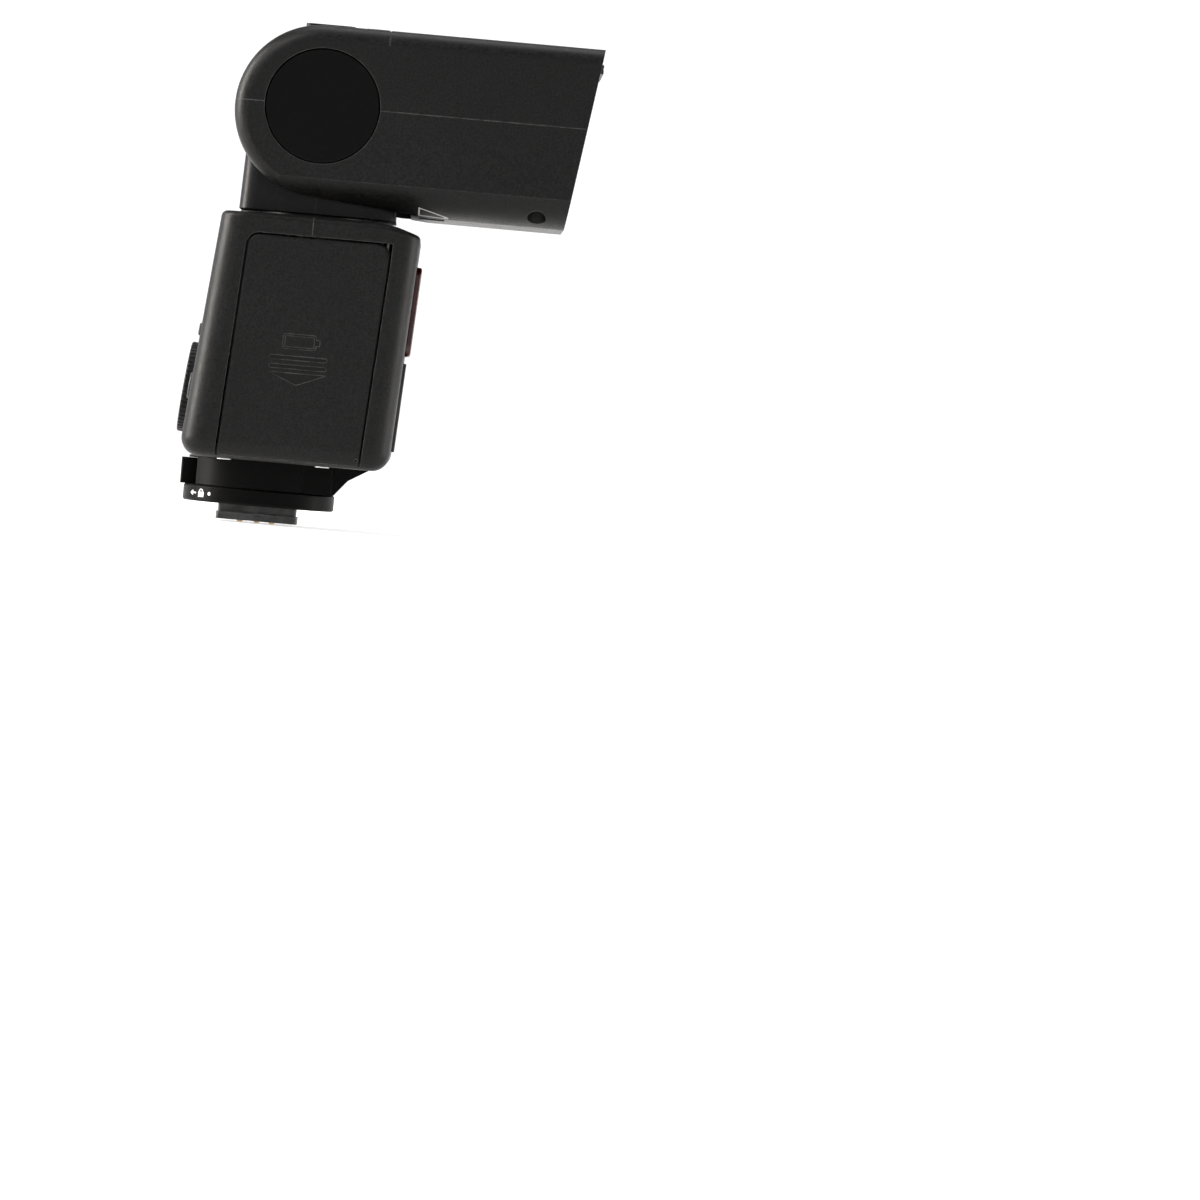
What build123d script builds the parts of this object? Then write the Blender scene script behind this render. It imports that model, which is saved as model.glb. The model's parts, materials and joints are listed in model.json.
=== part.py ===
"""Shoe-mount speedlight flash with a tilting and swivelling head.

Millimetres. +X is the way the lamp faces, +Z is up, +Y is the photographer's left.
The origin is the centre of the shoe plate's bottom face.
"""
from build123d import *
from math import acos, atan2, cos, hypot, radians, sin
import os

# ---- driving dimensions --------------------------------------------------------------
WALL = 2.0                    # casing wall
FIT = 0.06                    # running clearance on a radius
GAP = 0.25                    # clearance round doors and covers

SHOE_LENGTH = 22.4            # along X
SHOE_WIDTH = 18.6             # standard accessory shoe
SHOE_THICKNESS = 2.0
WAIST_WIDTH = 12.3            # neck of the shoe, passes between the rails
RING_BOTTOM = 4.3
RING_TOP = 8.8
RING_RADIUS = 20.9
FOOT_RADIUS = 20.0

BODY_BOTTOM = 16.8
BODY_TOP = 84.0
BODY_HALF_WIDTH = 38.0
BODY_REAR_LOW, BODY_REAR_HIGH = -22.1, -15.8       # X of the rear face, bottom and top
BODY_FRONT_LOW, BODY_FRONT_HIGH = 35.1, 38.6       # X of the front face
BROW_START = 30.0             # X where the top starts to fall towards the front
BROW_DROP = 2.6
BROW_RADIUS = 20.0
UPRIGHT_RADIUS = 6.5          # rounded upright edges
BOTTOM_RADIUS = 5.0
TOP_RADIUS = 1.6
SEAM_X = 9.2                  # seam between front and rear halves

TILT_X, TILT_Z = 8.9, 114.3   # tilt axis, along Y
SWIVEL_X = 8.9                # swivel axis, along Z

NECK_BOTTOM = 85.2
NECK_FRONT, NECK_REAR = 31.3, -11.6
NECK_HALF_WIDTH = 27.0
NECK_RADIUS = 4.5
DRUM_RADIUS = 19.5
PAD_HEIGHT = 0.5              # raised seat under the neck

HEAD_HALF_WIDTH = 37.0
HEAD_TOP = 136.4
HEAD_BOTTOM = 86.8
HEAD_BACK_RADIUS = 23.3
HEAD_BACK_X = 8.4
HEAD_FRONT_HIGH, HEAD_FRONT_LOW = 84.2, 77.2
HEAD_LEVEL_X = 40.0           # ahead of this the underside is level
HEAD_EDGE_RADIUS = 4.5
DRAFT_TOP_Z = TILT_Z + 0.6    # below this the side faces taper in
CREASE_Z = 94.6               # where the side face turns under
CREASE_HALF_WIDTH = 36.6
UNDERSIDE_HALF_WIDTH = 25.0
TURN_UNDER = (-0.55, -0.835)  # how steeply the side turns under at the crease
SLOT_HALF_WIDTH = 27.5        # slot between the cheeks, for the neck
SLOT_FRONT = 35.2
SLOT_TOP = 134.4
DISC_RADIUS = 15.7
AXLE_RADIUS = 4.0

DOOR_BOTTOM, DOOR_TOP = 19.0, 78.5
DOOR_REAR_LOW, DOOR_FRONT_LOW = -11.9, 27.3
DOOR_SHIFT = 3.8              # how far the door's upper end leans forward
DOOR_THICKNESS = 2.2
DOOR_CORNER = 3.5
HINGE_DEPTH = 1.1             # hinge axis behind the door's outer face
PIN_RADIUS = 0.5

CELL_RADIUS, CELL_LENGTH = 7.2, 50.5
CELL_PITCH = 16.4
CELL_X, CELL_Z = 9.6, 38.5    # centre of the two by two stack
CELL_OUTER_Y = -34.5          # ends of the cells beside the door

# ---- planes of the leaning faces ------------------------------------------------------
rear_lean = atan2(BODY_REAR_HIGH - BODY_REAR_LOW, BODY_TOP - BODY_BOTTOM)
rear_face = Plane(
    origin=(BODY_REAR_LOW, 0, BODY_BOTTOM),
    x_dir=(0, -1, 0),
    z_dir=(-cos(rear_lean), 0, sin(rear_lean)),
)
front_lean = atan2(BODY_FRONT_HIGH - BODY_FRONT_LOW, BODY_TOP - BROW_DROP - BODY_BOTTOM)
front_face = Plane(
    origin=(BODY_FRONT_LOW, 0, BODY_BOTTOM),
    x_dir=(0, 1, 0),
    z_dir=(cos(front_lean), 0, -sin(front_lean)),
)
lamp_lean = atan2(HEAD_FRONT_HIGH - HEAD_FRONT_LOW, HEAD_TOP - HEAD_BOTTOM)
lamp_face = Plane(
    origin=((HEAD_FRONT_HIGH + HEAD_FRONT_LOW) / 2, 0, (HEAD_TOP + HEAD_BOTTOM) / 2),
    x_dir=(0, 1, 0),
    z_dir=(cos(lamp_lean), 0, -sin(lamp_lean)),
)
door_lean = atan2(DOOR_SHIFT, DOOR_TOP - DOOR_BOTTOM)
door_up = Vector(sin(door_lean), 0, cos(door_lean))


def at(plane, depth):
    """The plane moved along its normal."""
    return plane.offset(depth)


# ---- forms shared by several pieces ---------------------------------------------------
def body_form(inset):
    """The body's outer form, drawn in by inset on every side."""
    outline = [
        (BODY_REAR_LOW, BODY_BOTTOM),
        (BODY_FRONT_LOW, BODY_BOTTOM),
        (BODY_FRONT_HIGH, BODY_TOP - BROW_DROP),
        (BROW_START, BODY_TOP),
        (BODY_REAR_HIGH, BODY_TOP),
    ]
    with BuildPart() as form:
        with BuildSketch(Plane.XZ):
            with BuildLine():
                Polyline(outline, close=True)
            make_face()
            if inset:
                offset(amount=-inset, kind=Kind.INTERSECTION)
        extrude(amount=BODY_HALF_WIDTH - inset, both=True)
        brow = form.edges().filter_by(Axis.Y).sort_by_distance((BROW_START, 0, BODY_TOP))[0]
        fillet(brow, radius=BROW_RADIUS)
        uprights = form.edges().filter_by(lambda edge: abs((edge % 0.5).Z) > 0.9)
        fillet(uprights, radius=UPRIGHT_RADIUS - inset)
        fillet(form.faces().sort_by(Axis.Z)[0].edges(), radius=BOTTOM_RADIUS - inset)
        if not inset:
            tops = form.faces().filter_by(lambda face: face.normal_at().Z > 0.8)
            rim = ShapeList()
            for face in tops:
                rim += face.edges()
            once = [edge for edge in rim if sum(edge.is_same(other) for other in rim) == 1]
            fillet(once, radius=TOP_RADIUS)
    return form.part


def neck_form(inset):
    """A tapering stem under a drum on the tilt axis, drawn in by inset on every side."""
    depth = 2 * (NECK_HALF_WIDTH - inset)
    radius = NECK_RADIUS - inset
    drum = DRUM_RADIUS - inset
    foot_length = NECK_FRONT - NECK_REAR - 2 * inset
    with BuildPart() as form:
        with BuildSketch(Plane.XY.offset(NECK_BOTTOM + inset)):
            with Locations(((NECK_FRONT + NECK_REAR) / 2, 0)):
                RectangleRounded(foot_length, depth, radius)
        with BuildSketch(Plane.XY.offset(TILT_Z)):
            with Locations((TILT_X, 0)):
                RectangleRounded(2 * drum, depth, radius)
        loft(ruled=True)
        with BuildSketch(Plane.XY.offset(TILT_Z)) as half_drum:
            with Locations((TILT_X + drum / 2, 0)):
                Rectangle(drum, depth)
            fillet(half_drum.vertices().group_by(Axis.X)[-1], radius=radius)
        revolve(axis=Axis((TILT_X, 0, TILT_Z), (0, 1, 0)))
    return form.part


def head_form(inset):
    """The head's outer form, drawn in by inset on every side."""
    radius = HEAD_BACK_RADIUS - inset
    top_z, bottom_z = HEAD_TOP - inset, HEAD_BOTTOM + inset
    back_z = HEAD_TOP - HEAD_BACK_RADIUS
    run, drop = HEAD_LEVEL_X - HEAD_BACK_X, back_z - bottom_z
    touch = acos(radius / hypot(run, drop)) - atan2(run, drop)
    touch_point = HEAD_BACK_X - radius * sin(touch), back_z - radius * cos(touch)
    slope = (HEAD_FRONT_HIGH - HEAD_FRONT_LOW) / (HEAD_TOP - HEAD_BOTTOM)
    front_low = HEAD_FRONT_LOW + slope * inset - inset / cos(lamp_lean)
    front_high = HEAD_FRONT_HIGH - slope * inset - inset / cos(lamp_lean)
    with BuildPart() as form:
        with BuildSketch(Plane.XZ):
            with BuildLine():
                top = Line((front_high, top_z), (HEAD_BACK_X, top_z))
                back = ThreePointArc(top @ 1, (HEAD_BACK_X - radius, back_z), touch_point)
                Polyline(back @ 1, (HEAD_LEVEL_X, bottom_z), (front_low, bottom_z), top @ 0)
            make_face()
        extrude(amount=HEAD_HALF_WIDTH - inset, both=True)
        rounded = form.edges().filter_by(
            lambda edge: abs(edge.center().Y) > HEAD_HALF_WIDTH - inset - 1
            and (edge.center().Z > HEAD_TOP - inset - 1 or edge.center().X < HEAD_BACK_X - inset)
        )
        fillet(rounded, radius=HEAD_EDGE_RADIUS - inset)
        with BuildSketch(Plane.YZ):
            with BuildLine():
                draft = Line(
                    (HEAD_HALF_WIDTH - inset, DRAFT_TOP_Z), (CREASE_HALF_WIDTH - inset, CREASE_Z)
                )
                turn = TangentArc(
                    draft @ 1, (UNDERSIDE_HALF_WIDTH, HEAD_BOTTOM + inset), tangent=TURN_UNDER
                )
                below = HEAD_BOTTOM - 10
                beside = HEAD_HALF_WIDTH + 10
                Polyline(
                    turn @ 1,
                    (UNDERSIDE_HALF_WIDTH, below),
                    (beside, below),
                    (beside, DRAFT_TOP_Z),
                    draft @ 0,
                )
            make_face()
            mirror(about=Plane.YZ)
        extrude(amount=HEAD_FRONT_HIGH + 10, both=True, mode=Mode.SUBTRACT)
    return form.part


def door_prism(spread, inner_y):
    """Prism over the battery door's outline, from outside the body in to inner_y."""
    drop = 10
    lower_shift = -DOOR_SHIFT * drop / (DOOR_TOP - DOOR_BOTTOM)
    with BuildPart() as prism:
        with BuildSketch(Plane.XZ.offset(-inner_y)) as outline:
            with BuildLine():
                Polyline(
                    (DOOR_REAR_LOW + lower_shift - spread, DOOR_BOTTOM - drop),
                    (DOOR_FRONT_LOW + lower_shift + spread, DOOR_BOTTOM - drop),
                    (DOOR_FRONT_LOW + DOOR_SHIFT + spread, DOOR_TOP + spread),
                    (DOOR_REAR_LOW + DOOR_SHIFT - spread, DOOR_TOP + spread),
                    close=True,
                )
            make_face()
            fillet(outline.vertices().group_by(Axis.Y)[-1], radius=DOOR_CORNER + spread)
        extrude(amount=BODY_HALF_WIDTH)
    return prism.part


def along(base, up, length, radius):
    """A rod of the given radius from base along up."""
    with BuildPart() as rod:
        with BuildSketch(Plane(origin=base, z_dir=up)):
            Circle(radius)
        extrude(amount=length)
    return rod.part


def outer_rim(piece, plane):
    """Edges of the face of a piece that lies furthest out from a plane."""
    outward = Axis((0, 0, 0), plane.z_dir)
    return piece.faces().sort_by(outward)[-1].edges()


# ---- body casing ----------------------------------------------------------------------
PANEL_WIDTH, PANEL_HEIGHT, PANEL_V = 60.0, 57.0, 33.6      # control panel opening
DISPLAY_WIDTH, DISPLAY_HEIGHT, DISPLAY_V = 46.0, 20.0, 48.5
WINDOW_WIDTH, WINDOW_HEIGHT, WINDOW_V = 38.0, 24.7, 44.3   # focus-assist window
COVER_WIDTH, COVER_LOW, COVER_HIGH = 36.0, 5.6, 30.0       # terminal cover, up the front
COVER_THICKNESS = 1.5
RECESS_DEPTH = 0.8
SYNC_U, SYNC_V, SYNC_RADIUS = -10.0, 22.5, 4.0
SOCKET_U, SOCKET_V, SOCKET_WIDTH, SOCKET_HEIGHT = 7.0, 18.5, 14.0, 11.0
INSERT_U, INSERT_V, INSERT_RADIUS = -10.0, 11.5, 3.4
HUB_RADIUS, HUB_BORE = 14.0, 11.0
BODY_SCREW_X, BODY_SCREW_Y = (-9.6, 17.1), 29.0
FOOT_SCREWS = [(-12, 12), (-12, -12), (14, 12), (14, -12)]
cover_v = (COVER_LOW + COVER_HIGH) / 2
body_screws_at = [(x, side * BODY_SCREW_Y) for x in BODY_SCREW_X for side in (1, -1)]

hinge_foot = Vector(DOOR_FRONT_LOW - HINGE_DEPTH, HINGE_DEPTH - BODY_HALF_WIDTH, DOOR_BOTTOM)
hinge_low = hinge_foot + door_up * 5.5
pin_length = (DOOR_TOP - DOOR_BOTTOM) / cos(door_lean) - 5.5 + 3.5
SWING_RELIEF = 5.0            # room for the door's turning edge beside its top corner
swing_top = hinge_foot + door_up * ((DOOR_TOP - DOOR_BOTTOM) / cos(door_lean) + GAP - SWING_RELIEF)

with BuildPart() as body_casing:
    add(body_form(0))
    with BuildSketch(Plane.XY.offset(BODY_TOP - 1)):
        with Locations(((NECK_FRONT - 1.5 + NECK_REAR) / 2, 0)):
            RectangleRounded(NECK_FRONT - NECK_REAR - 2.5, 2 * NECK_HALF_WIDTH - 1, NECK_RADIUS)
    extrude(amount=1 + PAD_HEIGHT)
    add(body_form(WALL), mode=Mode.SUBTRACT)
    with BuildSketch(Plane.XY.offset(BODY_TOP - 5)):
        with Locations((SWIVEL_X, 0)):
            Circle(HUB_RADIUS + 0.4)
    extrude(amount=10, mode=Mode.SUBTRACT)
    with BuildSketch(rear_face):
        with Locations((0, PANEL_V)):
            RectangleRounded(PANEL_WIDTH, PANEL_HEIGHT, 3)
    extrude(amount=-3, mode=Mode.SUBTRACT)
    with BuildSketch(front_face):
        with Locations((0, WINDOW_V)):
            RectangleRounded(WINDOW_WIDTH - 4, WINDOW_HEIGHT - 3, 2)
        with Locations((SYNC_U, SYNC_V)):
            Circle(SYNC_RADIUS + 0.02)
        with Locations((SOCKET_U, SOCKET_V)):
            RectangleRounded(SOCKET_WIDTH + 0.04, SOCKET_HEIGHT + 0.04, 1.5)
        with Locations((INSERT_U, INSERT_V)):
            Circle(INSERT_RADIUS + 0.02)
    extrude(amount=-3, mode=Mode.SUBTRACT)
    with BuildSketch(front_face):
        with Locations((0, cover_v)):
            Rectangle(COVER_WIDTH + 2 * GAP, COVER_HIGH - COVER_LOW + 2 * GAP)
    extrude(amount=-RECESS_DEPTH, mode=Mode.SUBTRACT)
    add(door_prism(GAP, GAP - BODY_HALF_WIDTH + DOOR_THICKNESS), mode=Mode.SUBTRACT)
    add(along(hinge_low, door_up, pin_length + 0.6, PIN_RADIUS + FIT), mode=Mode.SUBTRACT)
    add(along(swing_top, door_up, SWING_RELIEF, HINGE_DEPTH + 0.55), mode=Mode.SUBTRACT)
    with BuildSketch(Plane.XY.offset(BODY_BOTTOM)):
        with Locations(*body_screws_at):
            Circle(2.1)
    extrude(amount=1, mode=Mode.SUBTRACT)
    with BuildSketch(Plane.XY.offset(BODY_BOTTOM)):
        with Locations(*body_screws_at):
            Circle(1.15)
        with Locations(*FOOT_SCREWS):
            Circle(1.3)
    extrude(amount=WALL + 0.5, mode=Mode.SUBTRACT)

with BuildPart() as body_front_shell:
    add(body_casing.part)
    split(bisect_by=Plane.YZ.offset(SEAM_X), keep=Keep.TOP)

with BuildPart() as body_rear_shell:
    add(body_casing.part)
    split(bisect_by=Plane.YZ.offset(SEAM_X), keep=Keep.BOTTOM)

with BuildPart() as body_screws:
    with BuildSketch(Plane.XY.offset(BODY_BOTTOM - 0.3)):
        with Locations(*body_screws_at):
            Circle(2.0)
    extrude(amount=1.3)
    with BuildSketch(Plane.XY.offset(BODY_BOTTOM + 1)):
        with Locations(*body_screws_at):
            Circle(1.1)
    extrude(amount=3.5)
    with BuildSketch(Plane.XY.offset(BODY_BOTTOM - 0.3)):
        with Locations(*body_screws_at):
            Rectangle(2.6, 0.6)
            Rectangle(0.6, 2.6)
    extrude(amount=0.7, mode=Mode.SUBTRACT)
    with BuildSketch(Plane.XY.offset(BODY_BOTTOM - 5.5)):
        with Locations(*FOOT_SCREWS):
            Circle(1.25)
    extrude(amount=5.5 + WALL)
    with BuildSketch(Plane.XY.offset(BODY_BOTTOM + WALL)):
        with Locations(*FOOT_SCREWS):
            Circle(2.2)
    extrude(amount=1.6)

# ---- rear panel and its controls ------------------------------------------------------
DIAL_V, DIAL_RADIUS, DIAL_BORE = 18.5, 12.5, 4.65
DIAL_RING_RADIUS, DIAL_RING_HEIGHT = 13.2, 0.6
DIAL_HUB_RADIUS = 6.0
DIAL_TEETH = 54
MODE_U, MODE_V, MODE_WIDTH, MODE_HEIGHT = (-19.5, -6.5, 6.5, 19.5), 34.6, 9.0, 3.4
PILOT_U, PILOT_V, PILOT_RADIUS = 21.5, 19.0, 3.6
SWITCH_U, SWITCH_V, SWITCH_TRAVEL = -21.5, 15.5, 6.0
PANEL_FACE = -0.3             # panel surface, just below the casing's

with BuildPart() as control_panel:
    with BuildSketch(at(rear_face, PANEL_FACE)):
        with Locations((0, PANEL_V)):
            RectangleRounded(PANEL_WIDTH - 0.1, PANEL_HEIGHT - 0.1, 2.9)
    extrude(amount=-WALL - PANEL_FACE - 0.5)
    with BuildSketch(at(rear_face, -WALL - 1)):
        with Locations((0, PANEL_V + 0.7)):
            Rectangle(PANEL_WIDTH + 1.5, PANEL_HEIGHT + 1.2)
    extrude(amount=0.98)
    with BuildSketch(at(rear_face, PANEL_FACE)):
        with Locations((0, DIAL_V)):
            Circle(DIAL_RING_RADIUS)
    extrude(amount=DIAL_RING_HEIGHT)
    with BuildSketch(at(rear_face, 1)):
        with Locations((0, DISPLAY_V)):
            Rectangle(DISPLAY_WIDTH, DISPLAY_HEIGHT)
        with Locations((0, DIAL_V)):
            Circle(DIAL_HUB_RADIUS + FIT)
        with Locations(*[(u, MODE_V) for u in MODE_U]):
            RectangleRounded(MODE_WIDTH + 0.3, MODE_HEIGHT + 0.3, 1.6)
        with Locations((PILOT_U, PILOT_V)):
            Circle(PILOT_RADIUS + 0.12)
        with Locations((SWITCH_U, SWITCH_V + SWITCH_TRAVEL / 2)):
            Rectangle(2.4, SWITCH_TRAVEL + 3.2)
    extrude(amount=-5, mode=Mode.SUBTRACT)

with BuildPart() as display_window:
    with BuildSketch(at(rear_face, PANEL_FACE - 0.2)):
        with Locations((0, DISPLAY_V)):
            Rectangle(DISPLAY_WIDTH - 0.1, DISPLAY_HEIGHT - 0.1)
    extrude(amount=-2.55)
    with BuildSketch(at(rear_face, -3.9)):
        with Locations((0, DISPLAY_V)):
            Rectangle(DISPLAY_WIDTH + 3, DISPLAY_HEIGHT + 3)
    extrude(amount=0.88)

with BuildPart() as display_module:
    with BuildSketch(at(rear_face, -6.6)):
        with Locations((0, DISPLAY_V)):
            Rectangle(DISPLAY_WIDTH + 4, DISPLAY_HEIGHT + 2.6)
    extrude(amount=2.6)

with BuildPart() as control_board:
    with BuildSketch(at(rear_face, -8.8)):
        with Locations((0, PANEL_V)):
            Rectangle(PANEL_WIDTH - 4, PANEL_HEIGHT - 6)
    extrude(amount=1.4)

with BuildPart() as select_dial:
    dial_seat = PANEL_FACE + DIAL_RING_HEIGHT + 0.15
    with BuildSketch(at(rear_face, dial_seat)):
        with Locations((0, DIAL_V)):
            Circle(DIAL_RADIUS)
    extrude(amount=2.2)
    fillet(outer_rim(select_dial, rear_face), radius=0.6)
    with BuildSketch(at(rear_face, dial_seat - 4.2)):
        with Locations((0, DIAL_V)):
            Circle(DIAL_HUB_RADIUS)
    extrude(amount=4.2)
    with BuildSketch(at(rear_face, dial_seat - 5)):
        with Locations((0, DIAL_V)):
            Circle(DIAL_BORE)
    extrude(amount=9, mode=Mode.SUBTRACT)
    with BuildSketch(at(rear_face, dial_seat + 1.7)):
        with Locations((0, DIAL_V)):
            Circle(DIAL_RADIUS - 2.2)
            Circle(DIAL_BORE + 1.4, mode=Mode.SUBTRACT)
    extrude(amount=1, mode=Mode.SUBTRACT)
    with BuildSketch(at(rear_face, dial_seat)):
        with Locations((0, DIAL_V)):
            with PolarLocations(DIAL_RADIUS + 0.12, DIAL_TEETH):
                Circle(0.4)
    extrude(amount=3, mode=Mode.SUBTRACT)

with BuildPart() as set_button:
    with BuildSketch(at(rear_face, -3.6)):
        with Locations((0, DIAL_V)):
            Circle(DIAL_BORE - 0.12)
    extrude(amount=3.6 + dial_seat + 2.3)
    fillet(outer_rim(set_button, rear_face), radius=0.5)


def mode_button(u):
    """One of the buttons under the display."""
    with BuildPart() as button:
        with BuildSketch(at(rear_face, -3.2)):
            with Locations((u, MODE_V)):
                RectangleRounded(MODE_WIDTH, MODE_HEIGHT, 1.5)
        extrude(amount=3.2 + 0.8)
        fillet(outer_rim(button, rear_face), radius=0.35)
        with BuildSketch(at(rear_face, -4.2)):
            with Locations((u, MODE_V)):
                RectangleRounded(MODE_WIDTH + 1.2, MODE_HEIGHT + 1.2, 1.5)
        extrude(amount=1.0)
    return button


mode_buttons = [mode_button(u) for u in MODE_U]

with BuildPart() as test_button:
    with BuildSketch(at(rear_face, -3.2)):
        with Locations((PILOT_U, PILOT_V)):
            Circle(PILOT_RADIUS)
    extrude(amount=3.2 + 0.8)
    fillet(outer_rim(test_button, rear_face), radius=0.4)
    with BuildSketch(at(rear_face, -4.2)):
        with Locations((PILOT_U, PILOT_V)):
            Circle(PILOT_RADIUS + 0.7)
    extrude(amount=1.0)

with BuildPart() as power_switch:
    with BuildSketch(at(rear_face, PANEL_FACE + 0.15)):
        with Locations((SWITCH_U, SWITCH_V)):
            RectangleRounded(6, 6, 1)
    extrude(amount=1.5)
    with BuildSketch(at(rear_face, PANEL_FACE + 1.2)):
        with GridLocations(1, 1.5, 1, 3):
            with Locations((SWITCH_U, SWITCH_V)):
                Rectangle(7, 0.5)
    extrude(amount=1, mode=Mode.SUBTRACT)
    with BuildSketch(at(rear_face, -4.2)):
        with Locations((SWITCH_U, SWITCH_V)):
            Rectangle(2.1, 3)
    extrude(amount=4.2 + PANEL_FACE + 0.2)

# ---- front of the body ----------------------------------------------------------------
with BuildPart() as assist_window:
    with BuildSketch(at(front_face, 0.02)):
        with Locations((0, WINDOW_V)):
            RectangleRounded(WINDOW_WIDTH, WINDOW_HEIGHT, 3)
    extrude(amount=1.5)
    fillet(outer_rim(assist_window, front_face), radius=0.6)
    with BuildSketch(at(front_face, -2.6)):
        with Locations((0, WINDOW_V)):
            RectangleRounded(WINDOW_WIDTH - 4.2, WINDOW_HEIGHT - 3.2, 2)
    extrude(amount=2.62)

with BuildPart() as assist_lamp:
    with BuildSketch(at(front_face, -10)):
        with Locations((0, WINDOW_V)):
            Rectangle(30, 14)
    extrude(amount=1.2)
    with BuildSketch(at(front_face, -8.8)):
        with Locations((-8, WINDOW_V), (8, WINDOW_V)):
            Circle(4)
    extrude(amount=5.6)

with BuildPart() as terminal_cover:
    with BuildSketch(at(front_face, -COVER_THICKNESS / 2)):
        with Locations((0, cover_v)):
            Rectangle(COVER_WIDTH, COVER_HIGH - COVER_LOW)
    extrude(amount=COVER_THICKNESS)
    swing_edges = terminal_cover.edges().filter_by(
        lambda edge: edge.center().Y > COVER_WIDTH / 2 - 0.1 and edge.length > 10
    )
    fillet(swing_edges, radius=COVER_THICKNESS / 2 - 0.05)
    with BuildSketch(at(front_face, COVER_THICKNESS / 2 - 0.4)):
        with Locations((-COVER_WIDTH / 2, cover_v)):
            Rectangle(2.4, 8)
    extrude(amount=1, mode=Mode.SUBTRACT)

SOCKET_FACE = -RECESS_DEPTH - 0.1
with BuildPart() as sync_terminal:
    with BuildSketch(at(front_face, SOCKET_FACE)):
        with Locations((SYNC_U, SYNC_V)):
            Circle(SYNC_RADIUS)
    extrude(amount=-7.6)
    with BuildSketch(at(front_face, SOCKET_FACE)):
        with Locations((SYNC_U, SYNC_V)):
            Circle(1.8)
    extrude(amount=-6, mode=Mode.SUBTRACT)

with BuildPart() as power_socket:
    with BuildSketch(at(front_face, SOCKET_FACE)):
        with Locations((SOCKET_U, SOCKET_V)):
            RectangleRounded(SOCKET_WIDTH, SOCKET_HEIGHT, 1.5)
    extrude(amount=-8.2)
    with BuildSketch(at(front_face, SOCKET_FACE)):
        with Locations((SOCKET_U, SOCKET_V)):
            RectangleRounded(SOCKET_WIDTH - 3, SOCKET_HEIGHT - 3, 1)
    extrude(amount=-6.8, mode=Mode.SUBTRACT)

with BuildPart() as bracket_insert:
    with BuildSketch(at(front_face, SOCKET_FACE)):
        with Locations((INSERT_U, INSERT_V)):
            Circle(INSERT_RADIUS)
    extrude(amount=-7.5)
    with BuildSketch(at(front_face, SOCKET_FACE)):
        with Locations((INSERT_U, INSERT_V)):
            Circle(2.1)
    extrude(amount=-7.5, mode=Mode.SUBTRACT)

# ---- battery door, cells and power parts ----------------------------------------------
MARK_X, MARK_DEPTH = 8.3, 0.35
BAR_LENGTH, BAR_HEIGHT = 15.6, 1.1
BAR_Z = (45.5, 43.1)
ARROW_TOP, ARROW_TIP = 41.4, 38.2
PICTOGRAM_Z = 50.0
cell_places = [
    (CELL_X + side * CELL_PITCH / 2, CELL_Z + rise * CELL_PITCH / 2)
    for side in (1, -1)
    for rise in (1, -1)
]

with BuildPart() as battery_door:
    add(body_form(0))
    add(door_prism(0, DOOR_THICKNESS - BODY_HALF_WIDTH), mode=Mode.INTERSECT)
    swing_edges = battery_door.edges().filter_by(
        lambda edge: edge.center().X > DOOR_FRONT_LOW and edge.length > 40
    )
    fillet(swing_edges, radius=HINGE_DEPTH - 0.1)
    add(along(hinge_foot, door_up, 90, PIN_RADIUS + FIT), mode=Mode.SUBTRACT)
    with BuildSketch(Plane.XZ.offset(BODY_HALF_WIDTH - MARK_DEPTH)):
        with Locations(*[(MARK_X, z) for z in BAR_Z]):
            RectangleRounded(BAR_LENGTH, BAR_HEIGHT, 0.5)
        with BuildLine():
            Polyline(
                (MARK_X - BAR_LENGTH / 2, ARROW_TOP),
                (MARK_X, ARROW_TIP),
                (MARK_X + BAR_LENGTH / 2, ARROW_TOP),
                close=True,
            )
        make_face()
        with Locations((MARK_X, PICTOGRAM_Z)):
            RectangleRounded(9, 4, 0.8)
            RectangleRounded(8, 3, 0.5, mode=Mode.SUBTRACT)
        with Locations((MARK_X + 5, PICTOGRAM_Z)):
            Rectangle(1, 1.6)
    extrude(amount=1, mode=Mode.SUBTRACT)

with BuildPart() as door_hinge_pin:
    add(along(hinge_low, door_up, pin_length, PIN_RADIUS))

with BuildPart() as door_contacts:
    with BuildSketch(Plane.XZ.offset(BODY_HALF_WIDTH - DOOR_THICKNESS - 0.35)):
        with Locations(*[(CELL_X, CELL_Z + rise * CELL_PITCH / 2) for rise in (1, -1)]):
            Rectangle(CELL_PITCH + 8, 9)
    extrude(amount=0.35)
    with BuildSketch(Plane.XZ.offset(-CELL_OUTER_Y + 0.1)):
        with Locations(*cell_places):
            Circle(2.6)
    extrude(amount=BODY_HALF_WIDTH - DOOR_THICKNESS + CELL_OUTER_Y - 0.4)

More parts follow.
